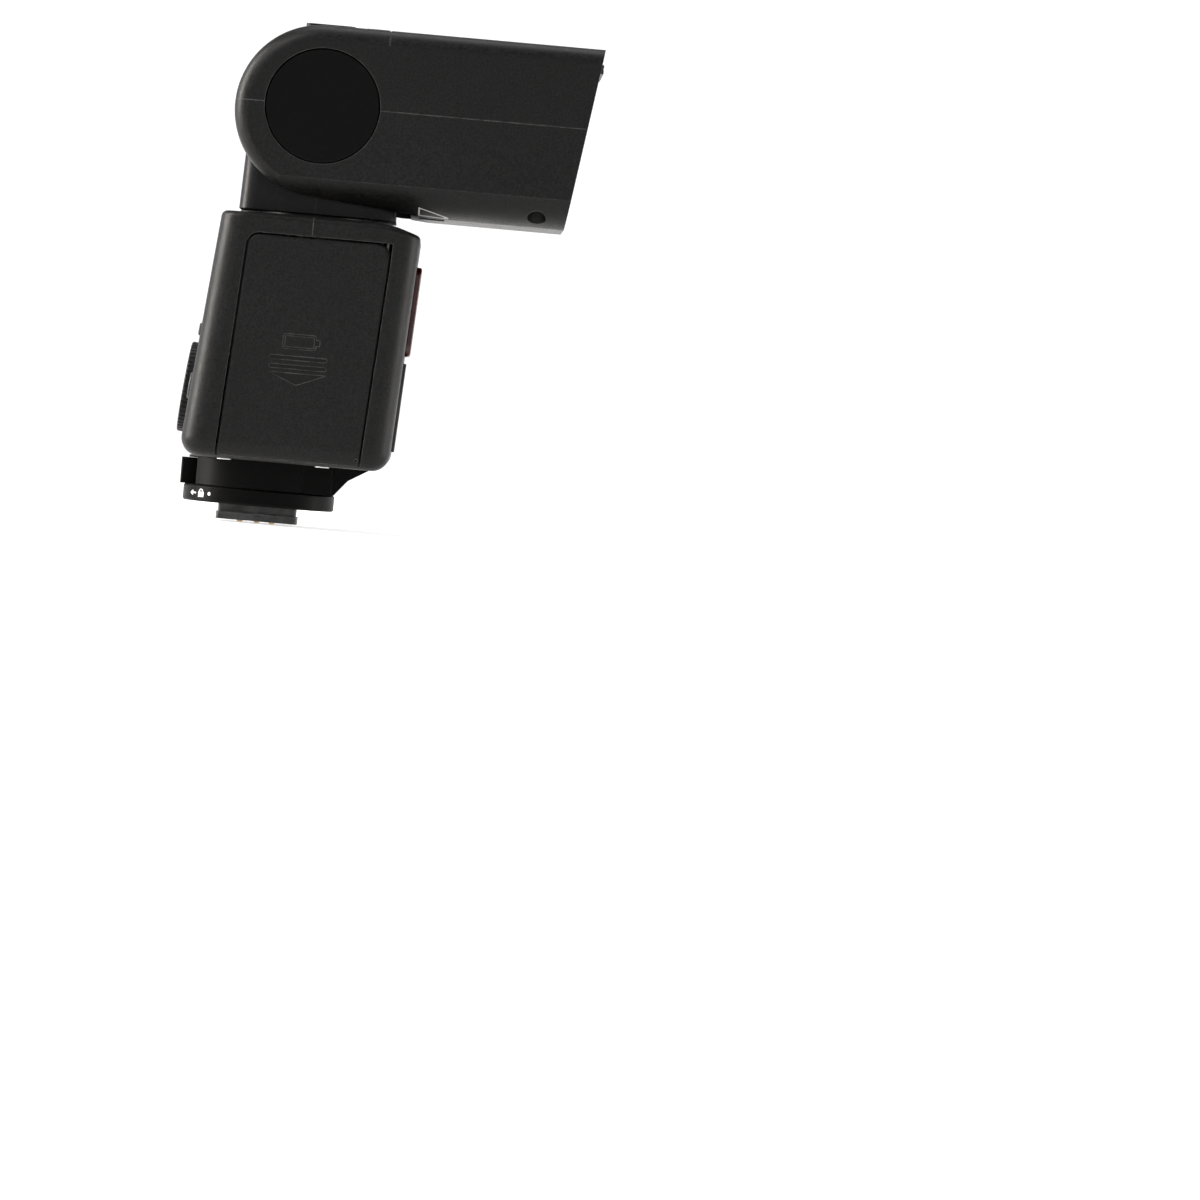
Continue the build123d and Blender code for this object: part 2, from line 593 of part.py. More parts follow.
HOLDER_FACE_Y, HOLDER_END_Y = -35.25, 18.3
with BuildPart() as battery_holder:
    holder_size = 2 * CELL_PITCH + 0.4
    with BuildSketch(Plane.XZ.offset(-HOLDER_END_Y)):
        with Locations((CELL_X, CELL_Z)):
            RectangleRounded(holder_size, holder_size, 4)
    extrude(amount=HOLDER_END_Y - HOLDER_FACE_Y)
    with BuildSketch(Plane.XZ.offset(-HOLDER_FACE_Y - 1.3)):
        with Locations((CELL_X, 49.2)):
            RectangleRounded(39.4, 57, 3)
    extrude(amount=1.3)
    with BuildSketch(Plane.XZ.offset(-HOLDER_END_Y + 1.4)):
        with Locations(*cell_places):
            Circle(CELL_RADIUS + 0.2)
    extrude(amount=HOLDER_END_Y - HOLDER_FACE_Y, mode=Mode.SUBTRACT)
    with BuildSketch(Plane.XZ.offset(-HOLDER_FACE_Y - 0.35)):
        with Locations(*[(CELL_X, CELL_Z + rise * CELL_PITCH / 2) for rise in (1, -1)]):
            Rectangle(CELL_PITCH + 8.4, 9.4)
    extrude(amount=2, mode=Mode.SUBTRACT)

with BuildPart() as aa_cells:
    with BuildSketch(Plane.XZ.offset(-CELL_OUTER_Y)):
        with Locations(*cell_places):
            Circle(CELL_RADIUS)
    extrude(amount=-CELL_LENGTH + 1)
    with BuildSketch(Plane.XZ.offset(-CELL_OUTER_Y - CELL_LENGTH)):
        with Locations(*cell_places):
            Circle(2.7)
    extrude(amount=1)

with BuildPart() as cell_contacts:
    with BuildSketch(Plane.XZ.offset(-HOLDER_END_Y + 1.4)):
        with Locations(*cell_places):
            Circle(4.5)
    extrude(amount=0.5)

with BuildPart() as main_capacitor:
    with BuildSketch(Plane.XZ.offset(-12)):
        with Locations((16, 66.5)):
            Circle(9.5)
    extrude(amount=45)
    fillet(main_capacitor.edges(), radius=1)

with BuildPart() as power_board:
    with BuildSketch(Plane.XZ.offset(-28.6)):
        with Locations((12, 48)):
            Rectangle(36, 52)
    extrude(amount=1.6)
    with BuildSketch(Plane.XZ.offset(-27)):
        with Locations((10, 66)):
            Rectangle(14, 14)
    extrude(amount=10)
    with BuildSketch(Plane.XZ.offset(-25)):
        with Locations((10, 66)):
            Rectangle(16, 9)
    extrude(amount=6)

# ---- foot and shoe --------------------------------------------------------------------
FOOT_BOTTOM = RING_TOP + 0.15
RECESS_RADIUS = 15.0
HUB_FOOT_RADIUS = 14.4
LEVER_HALF_ANGLE, RECESS_HALF_ANGLE = 9.0, 30.0
CONTACT_POCKET = (14.0, 10.4)
CONTACTS_AT = [(0, 0), (-4.6, 3.3), (-4.6, -3.3), (4.2, 3.3), (4.2, -3.3)]
LOCK_PIN_X, LOCK_PIN_RADIUS = 9.0, 1.15


def rear_sector(outer, inner, half_angle):
    """Ring sector round the shoe's axis, centred on the rear."""
    reach = outer / cos(radians(half_angle)) + 1
    with BuildSketch() as sector:
        Circle(outer)
        Circle(inner, mode=Mode.SUBTRACT)
        with BuildLine():
            Polyline(
                (0, 0),
                (-reach * cos(radians(half_angle)), reach * sin(radians(half_angle))),
                (-reach, 0),
                (-reach * cos(radians(half_angle)), -reach * sin(radians(half_angle))),
                close=True,
            )
        make_face(mode=Mode.INTERSECT)
    return sector.sketch


with BuildPart() as foot_base:
    with BuildSketch(Plane.XY.offset(FOOT_BOTTOM)):
        Circle(FOOT_RADIUS)
        with Locations((FOOT_RADIUS / 2, 0)):
            Rectangle(FOOT_RADIUS, 2 * FOOT_RADIUS - 8)
    extrude(amount=BODY_BOTTOM - FOOT_BOTTOM)
    with BuildSketch(Plane.XZ):
        with BuildLine():
            Polyline(
                (0, FOOT_BOTTOM),
                (20.7, FOOT_BOTTOM),
                (24.3, 13.3),
                (30.1, BODY_BOTTOM),
                (0, BODY_BOTTOM),
                close=True,
            )
        make_face()
    extrude(amount=15, both=True)
    with BuildSketch(Plane.XY.offset(RING_BOTTOM)):
        Circle(HUB_FOOT_RADIUS)
    extrude(amount=FOOT_BOTTOM - RING_BOTTOM)
    recess = rear_sector(FOOT_RADIUS + 3, RECESS_RADIUS, RECESS_HALF_ANGLE)
    add(recess.moved(Location((0, 0, FOOT_BOTTOM - 0.1))))
    extrude(amount=7.3, mode=Mode.SUBTRACT)
    with BuildSketch(Plane.XY.offset(RING_BOTTOM)):
        Rectangle(*CONTACT_POCKET)
    extrude(amount=1.2, mode=Mode.SUBTRACT)
    with BuildSketch(Plane.XY.offset(RING_BOTTOM)):
        with Locations((LOCK_PIN_X, 0)):
            Circle(LOCK_PIN_RADIUS + FIT)
    extrude(amount=4.4, mode=Mode.SUBTRACT)
    with BuildSketch(Plane.XY.offset(BODY_BOTTOM)):
        with Locations(*FOOT_SCREWS):
            Circle(1.27)
    extrude(amount=-6, mode=Mode.SUBTRACT)

with BuildPart() as lock_ring:
    with BuildSketch(Plane.XY.offset(RING_BOTTOM)):
        Circle(RING_RADIUS)
        Circle(HUB_FOOT_RADIUS + FIT, mode=Mode.SUBTRACT)
    extrude(amount=RING_TOP - RING_BOTTOM)
    chamfer(lock_ring.edges().sort_by(SortBy.LENGTH)[-2:], length=0.4)

with BuildPart() as lock_lever:
    lever = rear_sector(RING_RADIUS + 1.1, RECESS_RADIUS + 0.5, LEVER_HALF_ANGLE)
    add(lever.moved(Location((0, 0, RING_TOP))))
    extrude(amount=7.2)
    fillet(lock_lever.edges().filter_by(Axis.Z).sort_by(Axis.X)[:2], radius=0.5)

with BuildPart() as lock_pin:
    with BuildSketch(Plane.XY.offset(0.2)):
        with Locations((LOCK_PIN_X, 0)):
            Circle(LOCK_PIN_RADIUS)
    extrude(amount=8)
    chamfer(lock_pin.edges().sort_by(Axis.Z)[0], length=0.3)

with BuildPart() as shoe_plate:
    with BuildSketch():
        RectangleRounded(SHOE_LENGTH, SHOE_WIDTH, 1.2)
    extrude(amount=SHOE_THICKNESS)
    with BuildSketch(Plane.XY.offset(SHOE_THICKNESS)):
        RectangleRounded(SHOE_LENGTH - 0.8, WAIST_WIDTH, 1)
    extrude(amount=RING_BOTTOM - SHOE_THICKNESS)
    with BuildSketch():
        Rectangle(*CONTACT_POCKET)
        with Locations((LOCK_PIN_X, 0)):
            Circle(LOCK_PIN_RADIUS + FIT)
    extrude(amount=RING_BOTTOM, mode=Mode.SUBTRACT)

with BuildPart() as shoe_insulator:
    with BuildSketch():
        Rectangle(*CONTACT_POCKET)
        with Locations(*CONTACTS_AT):
            Circle(0.8 + FIT, mode=Mode.SUBTRACT)
    extrude(amount=3)

with BuildPart() as contact_pins:
    with BuildSketch(Plane.XY.offset(-0.5)):
        with Locations(*CONTACTS_AT):
            Circle(0.8)
    extrude(amount=4.4)
    fillet(contact_pins.edges().group_by(Axis.Z)[0], radius=0.4)
    with BuildSketch(Plane.XY.offset(3.05)):
        with Locations(*CONTACTS_AT):
            Circle(1.25)
    extrude(amount=0.5)

# ---- swivel and neck ------------------------------------------------------------------
RING_SEAT_Z = 80.0            # underside of the swivel ring
DETENT_Y = -31.4              # inner face of the detent plate
DETENT_THICKNESS, DETENT_RADIUS = 1.2, 11.0
DETENT_STOPS = (-7, 0, 45, 60, 75, 90)
ROLLER_RADIUS = 1.5

with BuildPart() as swivel_ring:
    with BuildSketch(Plane.XY.offset(RING_SEAT_Z)):
        with Locations((SWIVEL_X, 0)):
            Circle(HUB_RADIUS + 4)
            Circle(HUB_RADIUS + FIT, mode=Mode.SUBTRACT)
    extrude(amount=BODY_TOP - WALL - RING_SEAT_Z)

with BuildPart() as swivel_hub:
    with BuildSketch(Plane.XY.offset(RING_SEAT_Z - 0.2)):
        with Locations((SWIVEL_X, 0)):
            Circle(HUB_RADIUS)
    extrude(amount=NECK_BOTTOM + WALL - RING_SEAT_Z + 0.2)
    with BuildSketch(Plane.XY.offset(NECK_BOTTOM + WALL)):
        with Locations((SWIVEL_X, 0)):
            Circle(HUB_RADIUS + 3)
    extrude(amount=1.4)
    with BuildSketch(Plane.XY.offset(RING_SEAT_Z - 1)):
        with Locations((SWIVEL_X, 0)):
            Circle(HUB_BORE)
    extrude(amount=12, mode=Mode.SUBTRACT)

with BuildPart() as hub_retainer:
    with BuildSketch(Plane.XY.offset(RING_SEAT_Z - 1.8)):
        with Locations((SWIVEL_X, 0)):
            Circle(HUB_RADIUS + 3.5)
            Circle(HUB_BORE, mode=Mode.SUBTRACT)
    extrude(amount=1.6)

with BuildPart() as neck_casing:
    add(neck_form(0))
    add(neck_form(WALL), mode=Mode.SUBTRACT)
    with BuildSketch(Plane.XY.offset(NECK_BOTTOM - 1)):
        with Locations((SWIVEL_X, 0)):
            Circle(HUB_RADIUS + 0.02)
    extrude(amount=WALL + 2, mode=Mode.SUBTRACT)
    with BuildSketch(Plane.XZ):
        with Locations((TILT_X, TILT_Z)):
            Circle(AXLE_RADIUS + 0.02)
    extrude(amount=NECK_HALF_WIDTH + 1, both=True, mode=Mode.SUBTRACT)

with BuildPart() as neck_front_shell:
    add(neck_casing.part)
    split(bisect_by=Plane.YZ.offset(SEAM_X), keep=Keep.TOP)

with BuildPart() as neck_rear_shell:
    add(neck_casing.part)
    split(bisect_by=Plane.YZ.offset(SEAM_X), keep=Keep.BOTTOM)

AXLE_NEAR_Y, AXLE_FAR_Y = -33.4, 30.5
with BuildPart() as tilt_axle:
    with BuildSketch(Plane.XZ.offset(-AXLE_FAR_Y)):
        with Locations((TILT_X, TILT_Z)):
            Circle(AXLE_RADIUS)
            Circle(2.6, mode=Mode.SUBTRACT)
    extrude(amount=AXLE_FAR_Y - AXLE_NEAR_Y)

with BuildPart() as detent_plate:
    with BuildSketch(Plane.XZ.offset(-DETENT_Y)):
        with Locations((TILT_X, TILT_Z)):
            Circle(DETENT_RADIUS)
            Circle(AXLE_RADIUS + 0.02, mode=Mode.SUBTRACT)
        with Locations(*[
            (
                TILT_X + (DETENT_RADIUS + 0.4) * cos(radians(stop)),
                TILT_Z + (DETENT_RADIUS + 0.4) * sin(radians(stop)),
            )
            for stop in DETENT_STOPS
        ]):
            Circle(1.3, mode=Mode.SUBTRACT)
    extrude(amount=DETENT_THICKNESS)

# ---- head casing ----------------------------------------------------------------------
LENS_V, LENS_WIDTH, LENS_HEIGHT = -0.25, 63.0, 32.4
SLIT_WIDTH, SLIT_LOW_Z, SLIT_HIGH_Z = 54.4, 130.0, 133.1
HEAD_SCREW_X, HEAD_SCREW_Y = 69.4, 31.0
HEAD_SEAM_X = 25.5            # short upright seam beside the top
CHEEK_WALL_Y = SLOT_HALF_WIDTH + WALL
head_screws_at = [(HEAD_SCREW_X, side * HEAD_SCREW_Y) for side in (1, -1)]


def block(low, high):
    """An upright block between two opposite corners."""
    size = [b - a for a, b in zip(low, high)]
    middle = [(a + b) / 2 for a, b in zip(low, high)]
    return Pos(*middle) * Box(*size, mode=Mode.PRIVATE)


with BuildPart() as seam_groove:
    add(head_form(0))
    add(head_form(0.25), mode=Mode.SUBTRACT)
    add(block((HEAD_SEAM_X, -40, 132.2), (HEAD_SEAM_X + 0.25, 40, 140)), mode=Mode.INTERSECT)

with BuildPart() as head_hollow:
    add(head_form(WALL))
    add(block((-40, -CHEEK_WALL_Y, 60), (SLOT_FRONT + WALL, CHEEK_WALL_Y, 150)), mode=Mode.SUBTRACT)
    with BuildSketch(Plane.XY.offset(HEAD_BOTTOM)):
        with Locations(*head_screws_at):
            Circle(3.2)
    extrude(amount=HEAD_TOP - HEAD_BOTTOM, mode=Mode.SUBTRACT)

with BuildPart() as head_casing:
    add(head_form(0))
    with BuildSketch(Plane.XY.offset(HEAD_TOP - 1)):
        with Locations((9.2, 0)):
            RectangleRounded(13.4, 58, 2)
    extrude(amount=1.4)
    with BuildSketch(Plane.XY.offset(HEAD_TOP - 1)):
        with Locations((22.2, 0)):
            RectangleRounded(6.4, 58, 1)
    extrude(amount=1.25)
    add(head_hollow.part, mode=Mode.SUBTRACT)
    add(seam_groove.part, mode=Mode.SUBTRACT)
    add(block((-40, -SLOT_HALF_WIDTH, 60), (SLOT_FRONT, SLOT_HALF_WIDTH, SLOT_TOP)), mode=Mode.SUBTRACT)
    add(block((-40, -SLOT_HALF_WIDTH, 60), (2, SLOT_HALF_WIDTH, 150)), mode=Mode.SUBTRACT)
    with BuildSketch(at(lamp_face, 1)):
        with Locations((0, LENS_V)):
            RectangleRounded(LENS_WIDTH, LENS_HEIGHT, 2)
    extrude(amount=-5, mode=Mode.SUBTRACT)
    slit = (HEAD_FRONT_LOW, -SLIT_WIDTH / 2, SLIT_LOW_Z), (90, SLIT_WIDTH / 2, SLIT_HIGH_Z)
    add(block(*slit), mode=Mode.SUBTRACT)
    with BuildSketch(Plane.XZ):
        with Locations((TILT_X, TILT_Z)):
            Circle(AXLE_RADIUS + FIT)
    extrude(amount=CHEEK_WALL_Y + 1, both=True, mode=Mode.SUBTRACT)
    for side in (1, -1):
        with BuildSketch(Plane.XZ.offset(side * (HEAD_HALF_WIDTH - WALL - 0.5))):
            with Locations((TILT_X, TILT_Z)):
                Circle(DISC_RADIUS)
        extrude(amount=side * 5, mode=Mode.SUBTRACT)
    with BuildSketch(Plane.XY.offset(HEAD_BOTTOM - 1)):
        with Locations(*head_screws_at):
            Circle(2.6)
    extrude(amount=95 - HEAD_BOTTOM + 1, mode=Mode.SUBTRACT)
    with BuildSketch(Plane.XY.offset(94)):
        with Locations(*head_screws_at):
            Circle(1.1)
    extrude(amount=28.5, mode=Mode.SUBTRACT)

with BuildPart() as head_upper_shell:
    add(head_casing.part)
    split(bisect_by=Plane.XY.offset(TILT_Z), keep=Keep.TOP)

with BuildPart() as head_lower_shell:
    add(head_casing.part)
    split(bisect_by=Plane.XY.offset(TILT_Z), keep=Keep.BOTTOM)

with BuildPart() as head_screws:
    with BuildSketch(Plane.XY.offset(93)):
        with Locations(*head_screws_at):
            Circle(2.3)
    extrude(amount=2)
    with BuildSketch(Plane.XY.offset(95)):
        with Locations(*head_screws_at):
            Circle(1)
    extrude(amount=26)
    with BuildSketch(Plane.XY.offset(93)):
        with Locations(*head_screws_at):
            Rectangle(2.8, 0.7)
            Rectangle(0.7, 2.8)
    extrude(amount=1, mode=Mode.SUBTRACT)


def side_disc(side):
    """Round cap over the tilt axle, snapped in behind a cheek's outer wall."""
    inner_y = HEAD_HALF_WIDTH - WALL - 0.5
    with BuildPart() as disc:
        with BuildSketch(Plane.XZ.offset(-side * inner_y)):
            with Locations((TILT_X, TILT_Z)):
                Circle(DISC_RADIUS - 0.15)
        extrude(amount=-side * 2.1)
        rim = disc.edges().sort_by(Axis.Y)[-1 if side > 0 else 0]
        chamfer(rim, length=0.35)
        with BuildSketch(Plane.XZ.offset(-side * (inner_y - 0.9))):
            with Locations((TILT_X, TILT_Z)):
                Circle(DISC_RADIUS + 1.3)
        extrude(amount=-side * 0.9)
        if side > 0:
            with BuildSketch(Plane.XZ.offset(-inner_y + 2)):
                with Locations((TILT_X, TILT_Z)):
                    Circle(6.1)
            extrude(amount=-5, mode=Mode.SUBTRACT)
    return disc


side_disc_right = side_disc(-1)
side_disc_left = side_disc(1)

with BuildPart() as release_button:
    with BuildSketch(Plane.XZ.offset(-32.3)):
        with Locations((TILT_X, TILT_Z)):
            Circle(6)
    extrude(amount=-5)
    fillet(release_button.edges().sort_by(Axis.Y)[-1], radius=0.6)
    with BuildSketch(Plane.XZ.offset(-32.3)):
        with Locations((TILT_X, TILT_Z)):
            Circle(7.2)
    extrude(amount=-1.1)

with BuildPart() as detent_spring:
    with BuildSketch(Plane.XZ.offset(-DETENT_Y + 0.1)):
        with Locations((TILT_X + DETENT_RADIUS + ROLLER_RADIUS + 0.15, TILT_Z)):
            Circle(ROLLER_RADIUS)
        with Locations((28, TILT_Z)):
            Rectangle(12, 0.9)
    extrude(amount=1)
    with BuildSketch(Plane.XZ.offset(CHEEK_WALL_Y)):
        with Locations((31, TILT_Z)):
            Rectangle(6, 5)
    extrude(amount=3.1)

with BuildPart() as index_mark:
    with BuildSketch(Plane.XY.offset(HEAD_BOTTOM - 0.4)):
        with BuildLine():
            Polyline((37.5, -17.5), (37.5, -23.5), (45.6, -20.5), close=True)
        make_face()
    extrude(amount=0.4)
    fillet(index_mark.edges().filter_by(Axis.Z).sort_by(Axis.X)[-1], radius=0.6)

# ---- lamp, zoom drive and pull-out panels ----------------------------------------------
LAMP_X, LAMP_Z = 49.0, 111.5
SCREW_Y, SCREW_Z, SCREW_RADIUS = 15.0, 91.9, 1.2
REFLECTOR_FRONT, REFLECTOR_BACK, REFLECTOR_HALF_HEIGHT, REFLECTOR_HALF_WIDTH = 60.0, 44.4, 14.8, 25.0
PANEL_LIP_X = 84.3

with BuildPart() as lens:
    with BuildSketch(at(lamp_face, -0.6)):
        with Locations((0, LENS_V)):
            RectangleRounded(LENS_WIDTH - 0.2, LENS_HEIGHT - 0.2, 1.9)
    extrude(amount=-2.4)
    with BuildSketch(at(lamp_face, -2.05)):
        with Locations((0, LENS_V)):
            Rectangle(LENS_WIDTH + 2.6, LENS_HEIGHT + 2.2)
    extrude(amount=-1.1)


def trough(inset, half_width):
    """Solid behind a trough-shaped mirror's surface."""
    with BuildPart() as solid:
        with BuildSketch(Plane.XZ):
            with BuildLine():
                half = REFLECTOR_HALF_HEIGHT - inset
                curve = ThreePointArc(
                    (REFLECTOR_FRONT, LAMP_Z + half),
                    (REFLECTOR_BACK + inset, LAMP_Z),
                    (REFLECTOR_FRONT, LAMP_Z - half),
                )
                Line(curve @ 1, curve @ 0)
            make_face()
        extrude(amount=half_width, both=True)
    return solid.part


with BuildPart() as reflector:
    add(trough(0, REFLECTOR_HALF_WIDTH))
    add(trough(1, REFLECTOR_HALF_WIDTH - 1), mode=Mode.SUBTRACT)
    with BuildSketch(Plane.XZ):
        with Locations((LAMP_X, LAMP_Z)):
            Circle(1.95)
    extrude(amount=REFLECTOR_HALF_WIDTH + 1, both=True, mode=Mode.SUBTRACT)

with BuildPart() as flash_tube:
    with BuildSketch(Plane.XZ):
        with Locations((LAMP_X, LAMP_Z)):
            Circle(1.9)
    extrude(amount=REFLECTOR_HALF_WIDTH + 2, both=True)
    fillet(flash_tube.edges(), radius=0.8)

with BuildPart() as zoom_carriage:
    add(block((42.4, -20, 95), (REFLECTOR_BACK - 0.02, 20, 118)))
    add(block((42.4, 9, 95), (56, 21, 96.3)))
    add(block((50, 11, 89.3), (56, 19, 95)))
    with BuildSketch(Plane.YZ.offset(49)):
        with Locations((SCREW_Y, SCREW_Z)):
            Circle(SCREW_RADIUS + FIT)
    extrude(amount=8, mode=Mode.SUBTRACT)

with BuildPart() as zoom_motor:
    with BuildSketch(Plane.YZ.offset(38)):
        with Locations((SCREW_Y, SCREW_Z)):
            Circle(2.8)
    extrude(amount=11)
    fillet(zoom_motor.edges(), radius=0.3)

with BuildPart() as zoom_screw:
    with BuildSketch(Plane.YZ.offset(49.1)):
        with Locations((SCREW_Y, SCREW_Z)):
            Circle(SCREW_RADIUS)
    extrude(amount=25)

with BuildPart() as panel_tray:
    add(block((40, -27.6, 128.9), (79.4, 27.6, 129.9)))
    for side in (1, -1):
        add(block((40, side * 27.35 - 0.25, 129.9), (79.4, side * 27.35 + 0.25, 133.6)))


def pull_out_panel(low_z, high_z, half_width):
    """Flat panel stored above the lamp, with a lip that stands proud of the front."""
    with BuildPart() as panel:
        add(block((40.5, -half_width, low_z), (83.6, half_width, high_z)))
        add(block((83.6, -half_width + 3, low_z), (PANEL_LIP_X, half_width - 3, high_z)))
        fillet(panel.edges().filter_by(Axis.Z).sort_by(Axis.X)[:2], radius=2)
    return panel


wide_panel = pull_out_panel(130.2, 131.4, 26.6)
catchlight_panel = pull_out_panel(131.8, 132.7, 26.6)

# ---- finished pieces ------------------------------------------------------------------
pieces = {
    "body_front_shell": body_front_shell,
    "body_rear_shell": body_rear_shell,
    "body_screws": body_screws,
    "control_panel": control_panel,
    "display_window": display_window,
    "display_module": display_module,
    "control_board": control_board,
    "select_dial": select_dial,
    "set_button": set_button,
    "mode_button_1": mode_buttons[0],
    "mode_button_2": mode_buttons[1],
    "mode_button_3": mode_buttons[2],
    "mode_button_4": mode_buttons[3],
    "test_button": test_button,
    "power_switch": power_switch,
    "assist_window": assist_window,
    "assist_lamp": assist_lamp,
    "terminal_cover": terminal_cover,
    "sync_terminal": sync_terminal,
    "power_socket": power_socket,
    "bracket_insert": bracket_insert,
    "battery_door": battery_door,
    "door_hinge_pin": door_hinge_pin,
    "door_contacts": door_contacts,
    "battery_holder": battery_holder,
    "aa_cells": aa_cells,
    "cell_contacts": cell_contacts,
    "main_capacitor": main_capacitor,
    "power_board": power_board,
    "foot_base": foot_base,
    "lock_ring": lock_ring,
    "lock_lever": lock_lever,
    "lock_pin": lock_pin,
    "shoe_plate": shoe_plate,
    "shoe_insulator": shoe_insulator,
    "contact_pins": contact_pins,
    "swivel_ring": swivel_ring,
    "swivel_hub": swivel_hub,
    "hub_retainer": hub_retainer,
    "neck_front_shell": neck_front_shell,
    "neck_rear_shell": neck_rear_shell,
    "tilt_axle": tilt_axle,
    "detent_plate": detent_plate,
    "head_upper_shell": head_upper_shell,
    "head_lower_shell": head_lower_shell,
    "head_screws": head_screws,
    "side_disc_right": side_disc_right,
    "side_disc_left": side_disc_left,
    "release_button": release_button,
    "detent_spring": detent_spring,
    "index_mark": index_mark,
    "lens": lens,
    "reflector": reflector,
    "flash_tube": flash_tube,
    "zoom_carriage": zoom_carriage,
    "zoom_motor": zoom_motor,
    "zoom_screw": zoom_screw,
    "panel_tray": panel_tray,
    "wide_panel": wide_panel,
    "catchlight_panel": catchlight_panel,
}

os.makedirs("parts", exist_ok=True)
for name, piece in pieces.items():
    piece.part.label = name
    export_step(piece.part, f"parts/{name}.step")
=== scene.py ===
import json
from math import atan2, cos, pi, radians, sin

import bmesh
import bpy
from mathutils import Matrix, Vector
from mathutils.bvhtree import BVHTree


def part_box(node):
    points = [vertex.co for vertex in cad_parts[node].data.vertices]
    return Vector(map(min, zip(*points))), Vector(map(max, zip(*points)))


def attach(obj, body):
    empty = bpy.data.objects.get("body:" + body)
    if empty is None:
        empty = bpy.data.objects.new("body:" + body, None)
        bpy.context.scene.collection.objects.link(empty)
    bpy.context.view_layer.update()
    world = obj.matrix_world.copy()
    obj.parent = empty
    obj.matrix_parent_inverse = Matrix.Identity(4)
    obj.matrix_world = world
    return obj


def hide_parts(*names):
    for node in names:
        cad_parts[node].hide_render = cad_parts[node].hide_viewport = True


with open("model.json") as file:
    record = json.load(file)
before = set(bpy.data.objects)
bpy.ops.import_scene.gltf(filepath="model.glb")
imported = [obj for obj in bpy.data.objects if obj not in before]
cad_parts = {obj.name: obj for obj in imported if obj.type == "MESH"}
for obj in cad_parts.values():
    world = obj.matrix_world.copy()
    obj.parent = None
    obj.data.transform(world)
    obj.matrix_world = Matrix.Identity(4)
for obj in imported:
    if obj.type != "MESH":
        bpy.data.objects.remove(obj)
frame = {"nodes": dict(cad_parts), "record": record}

MM = 0.001
TRACE = 0.005                                         # gap between a print and its face, mm
PRINT = 0.04                                          # thickness of printed marks, mm
OUTLINE = 0.08                                        # thickness of the index outline, mm
REAR_UP = Vector((6.3, 0.0, 67.2)).normalized()       # the rear panel leans forward
REAR_OUT = Vector((-67.2, 0.0, 6.3)).normalized()
LIP_DEPTH = 4.5                                       # black lip of the two pull-out panels, mm

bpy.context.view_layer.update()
nodes = frame["nodes"]


# ---- material building -----------------------------------------------------------------
class Finish:
    """A node material built step by step around one Principled shader."""

    def __init__(self, name, **sockets):
        self.material = bpy.data.materials.new(name)
        self.material.use_nodes = True
        self.tree = self.material.node_tree
        self.shader = self.tree.nodes["Principled BSDF"]
        for socket, value in sockets.items():
            self.shader.inputs[socket.replace("_", " ")].default_value = value
        place = self.add("TexCoord").outputs["Object"]
        scaled = self.add("Mapping", {"Vector": place})
        scaled.inputs["Scale"].default_value = (1 / MM,) * 3
        self.place = scaled.outputs["Vector"]
        self.normal = None

    def add(self, kind, inputs=None, **settings):
        node = self.tree.nodes.new("ShaderNode" + kind)
        for name, value in settings.items():
            setattr(node, name, value)
        for name, value in (inputs or {}).items():
            self.put(value, node.inputs[name])
        return node

    def put(self, value, socket):
        if isinstance(value, bpy.types.NodeSocket):
            self.tree.links.new(value, socket)
        else:
            socket.default_value = value

    def noise(self, size_mm, detail=2.0, stretch=None):
        """Even noise, about 0.3 to 0.7, with features of the given size."""
        where = self.place
        if stretch:
            where = self.add("Mapping", {"Vector": where, "Scale": stretch}).outputs["Vector"]
        inputs = {"Vector": where, "Scale": 1 / size_mm, "Detail": detail, "Roughness": 0.55}
        return self.add("TexNoise", inputs).outputs["Fac"]

    def remap(self, value, low, high, to_low, to_high):
        inputs = {
            "Value": value,
            "From Min": low,
            "From Max": high,
            "To Min": to_low,
            "To Max": to_high,
        }
        return self.add("MapRange", inputs).outputs["Result"]

    def math(self, operation, a, b):
        node = self.add("Math", operation=operation)
        self.put(a, node.inputs[0])
        self.put(b, node.inputs[1])
        return node.outputs[0]

    def mix(self, amount, a, b):
        node = self.add("MixRGB")
        for value, socket in zip((amount, a, b), node.inputs):
            self.put(value, socket)
        return node.outputs["Color"]

    def soften(self, radius_mm):
        """Rounds the look of hard edges by the given radius."""
        bevel = self.add("Bevel", {"Radius": radius_mm * MM}, samples=6)
        self.normal = bevel.outputs["Normal"]

    def edges(self, reach_mm, spread=0.12):
        """1 on hard outer edges, falling to 0 within reach, broken up by noise."""
        bevel = self.add("Bevel", {"Radius": reach_mm * MM}, samples=6)
        flat = self.add("NewGeometry").outputs["Normal"]
        turned = self.add("VectorMath", operation="DOT_PRODUCT")
        self.put(bevel.outputs["Normal"], turned.inputs[0])
        self.put(flat, turned.inputs[1])
        near = self.remap(turned.outputs["Value"], 1 - spread, 0.995, 1.0, 0.0)
        patchy = self.remap(self.noise(2.6, 4.0), 0.36, 0.62, 0.25, 1.0)
        return self.math("MULTIPLY", near, patchy)

    def bump(self, height, depth_mm):
        node = self.add("Bump", {"Height": height, "Strength": 1.0, "Distance": depth_mm * MM})
        if self.normal:
            self.put(self.normal, node.inputs["Normal"])
        self.normal = node.outputs["Normal"]

    def done(self, colour=None, roughness=None):
        if colour is not None:
            self.put(colour, self.shader.inputs["Base Color"])
        if roughness is not None:
            self.put(roughness, self.shader.inputs["Roughness"])
        if self.normal:
            self.put(self.normal, self.shader.inputs["Normal"])
        return self.material


def grey(value, warm=0.0):
    return (value * (1 + warm), value, value * (1 - warm), 1.0)


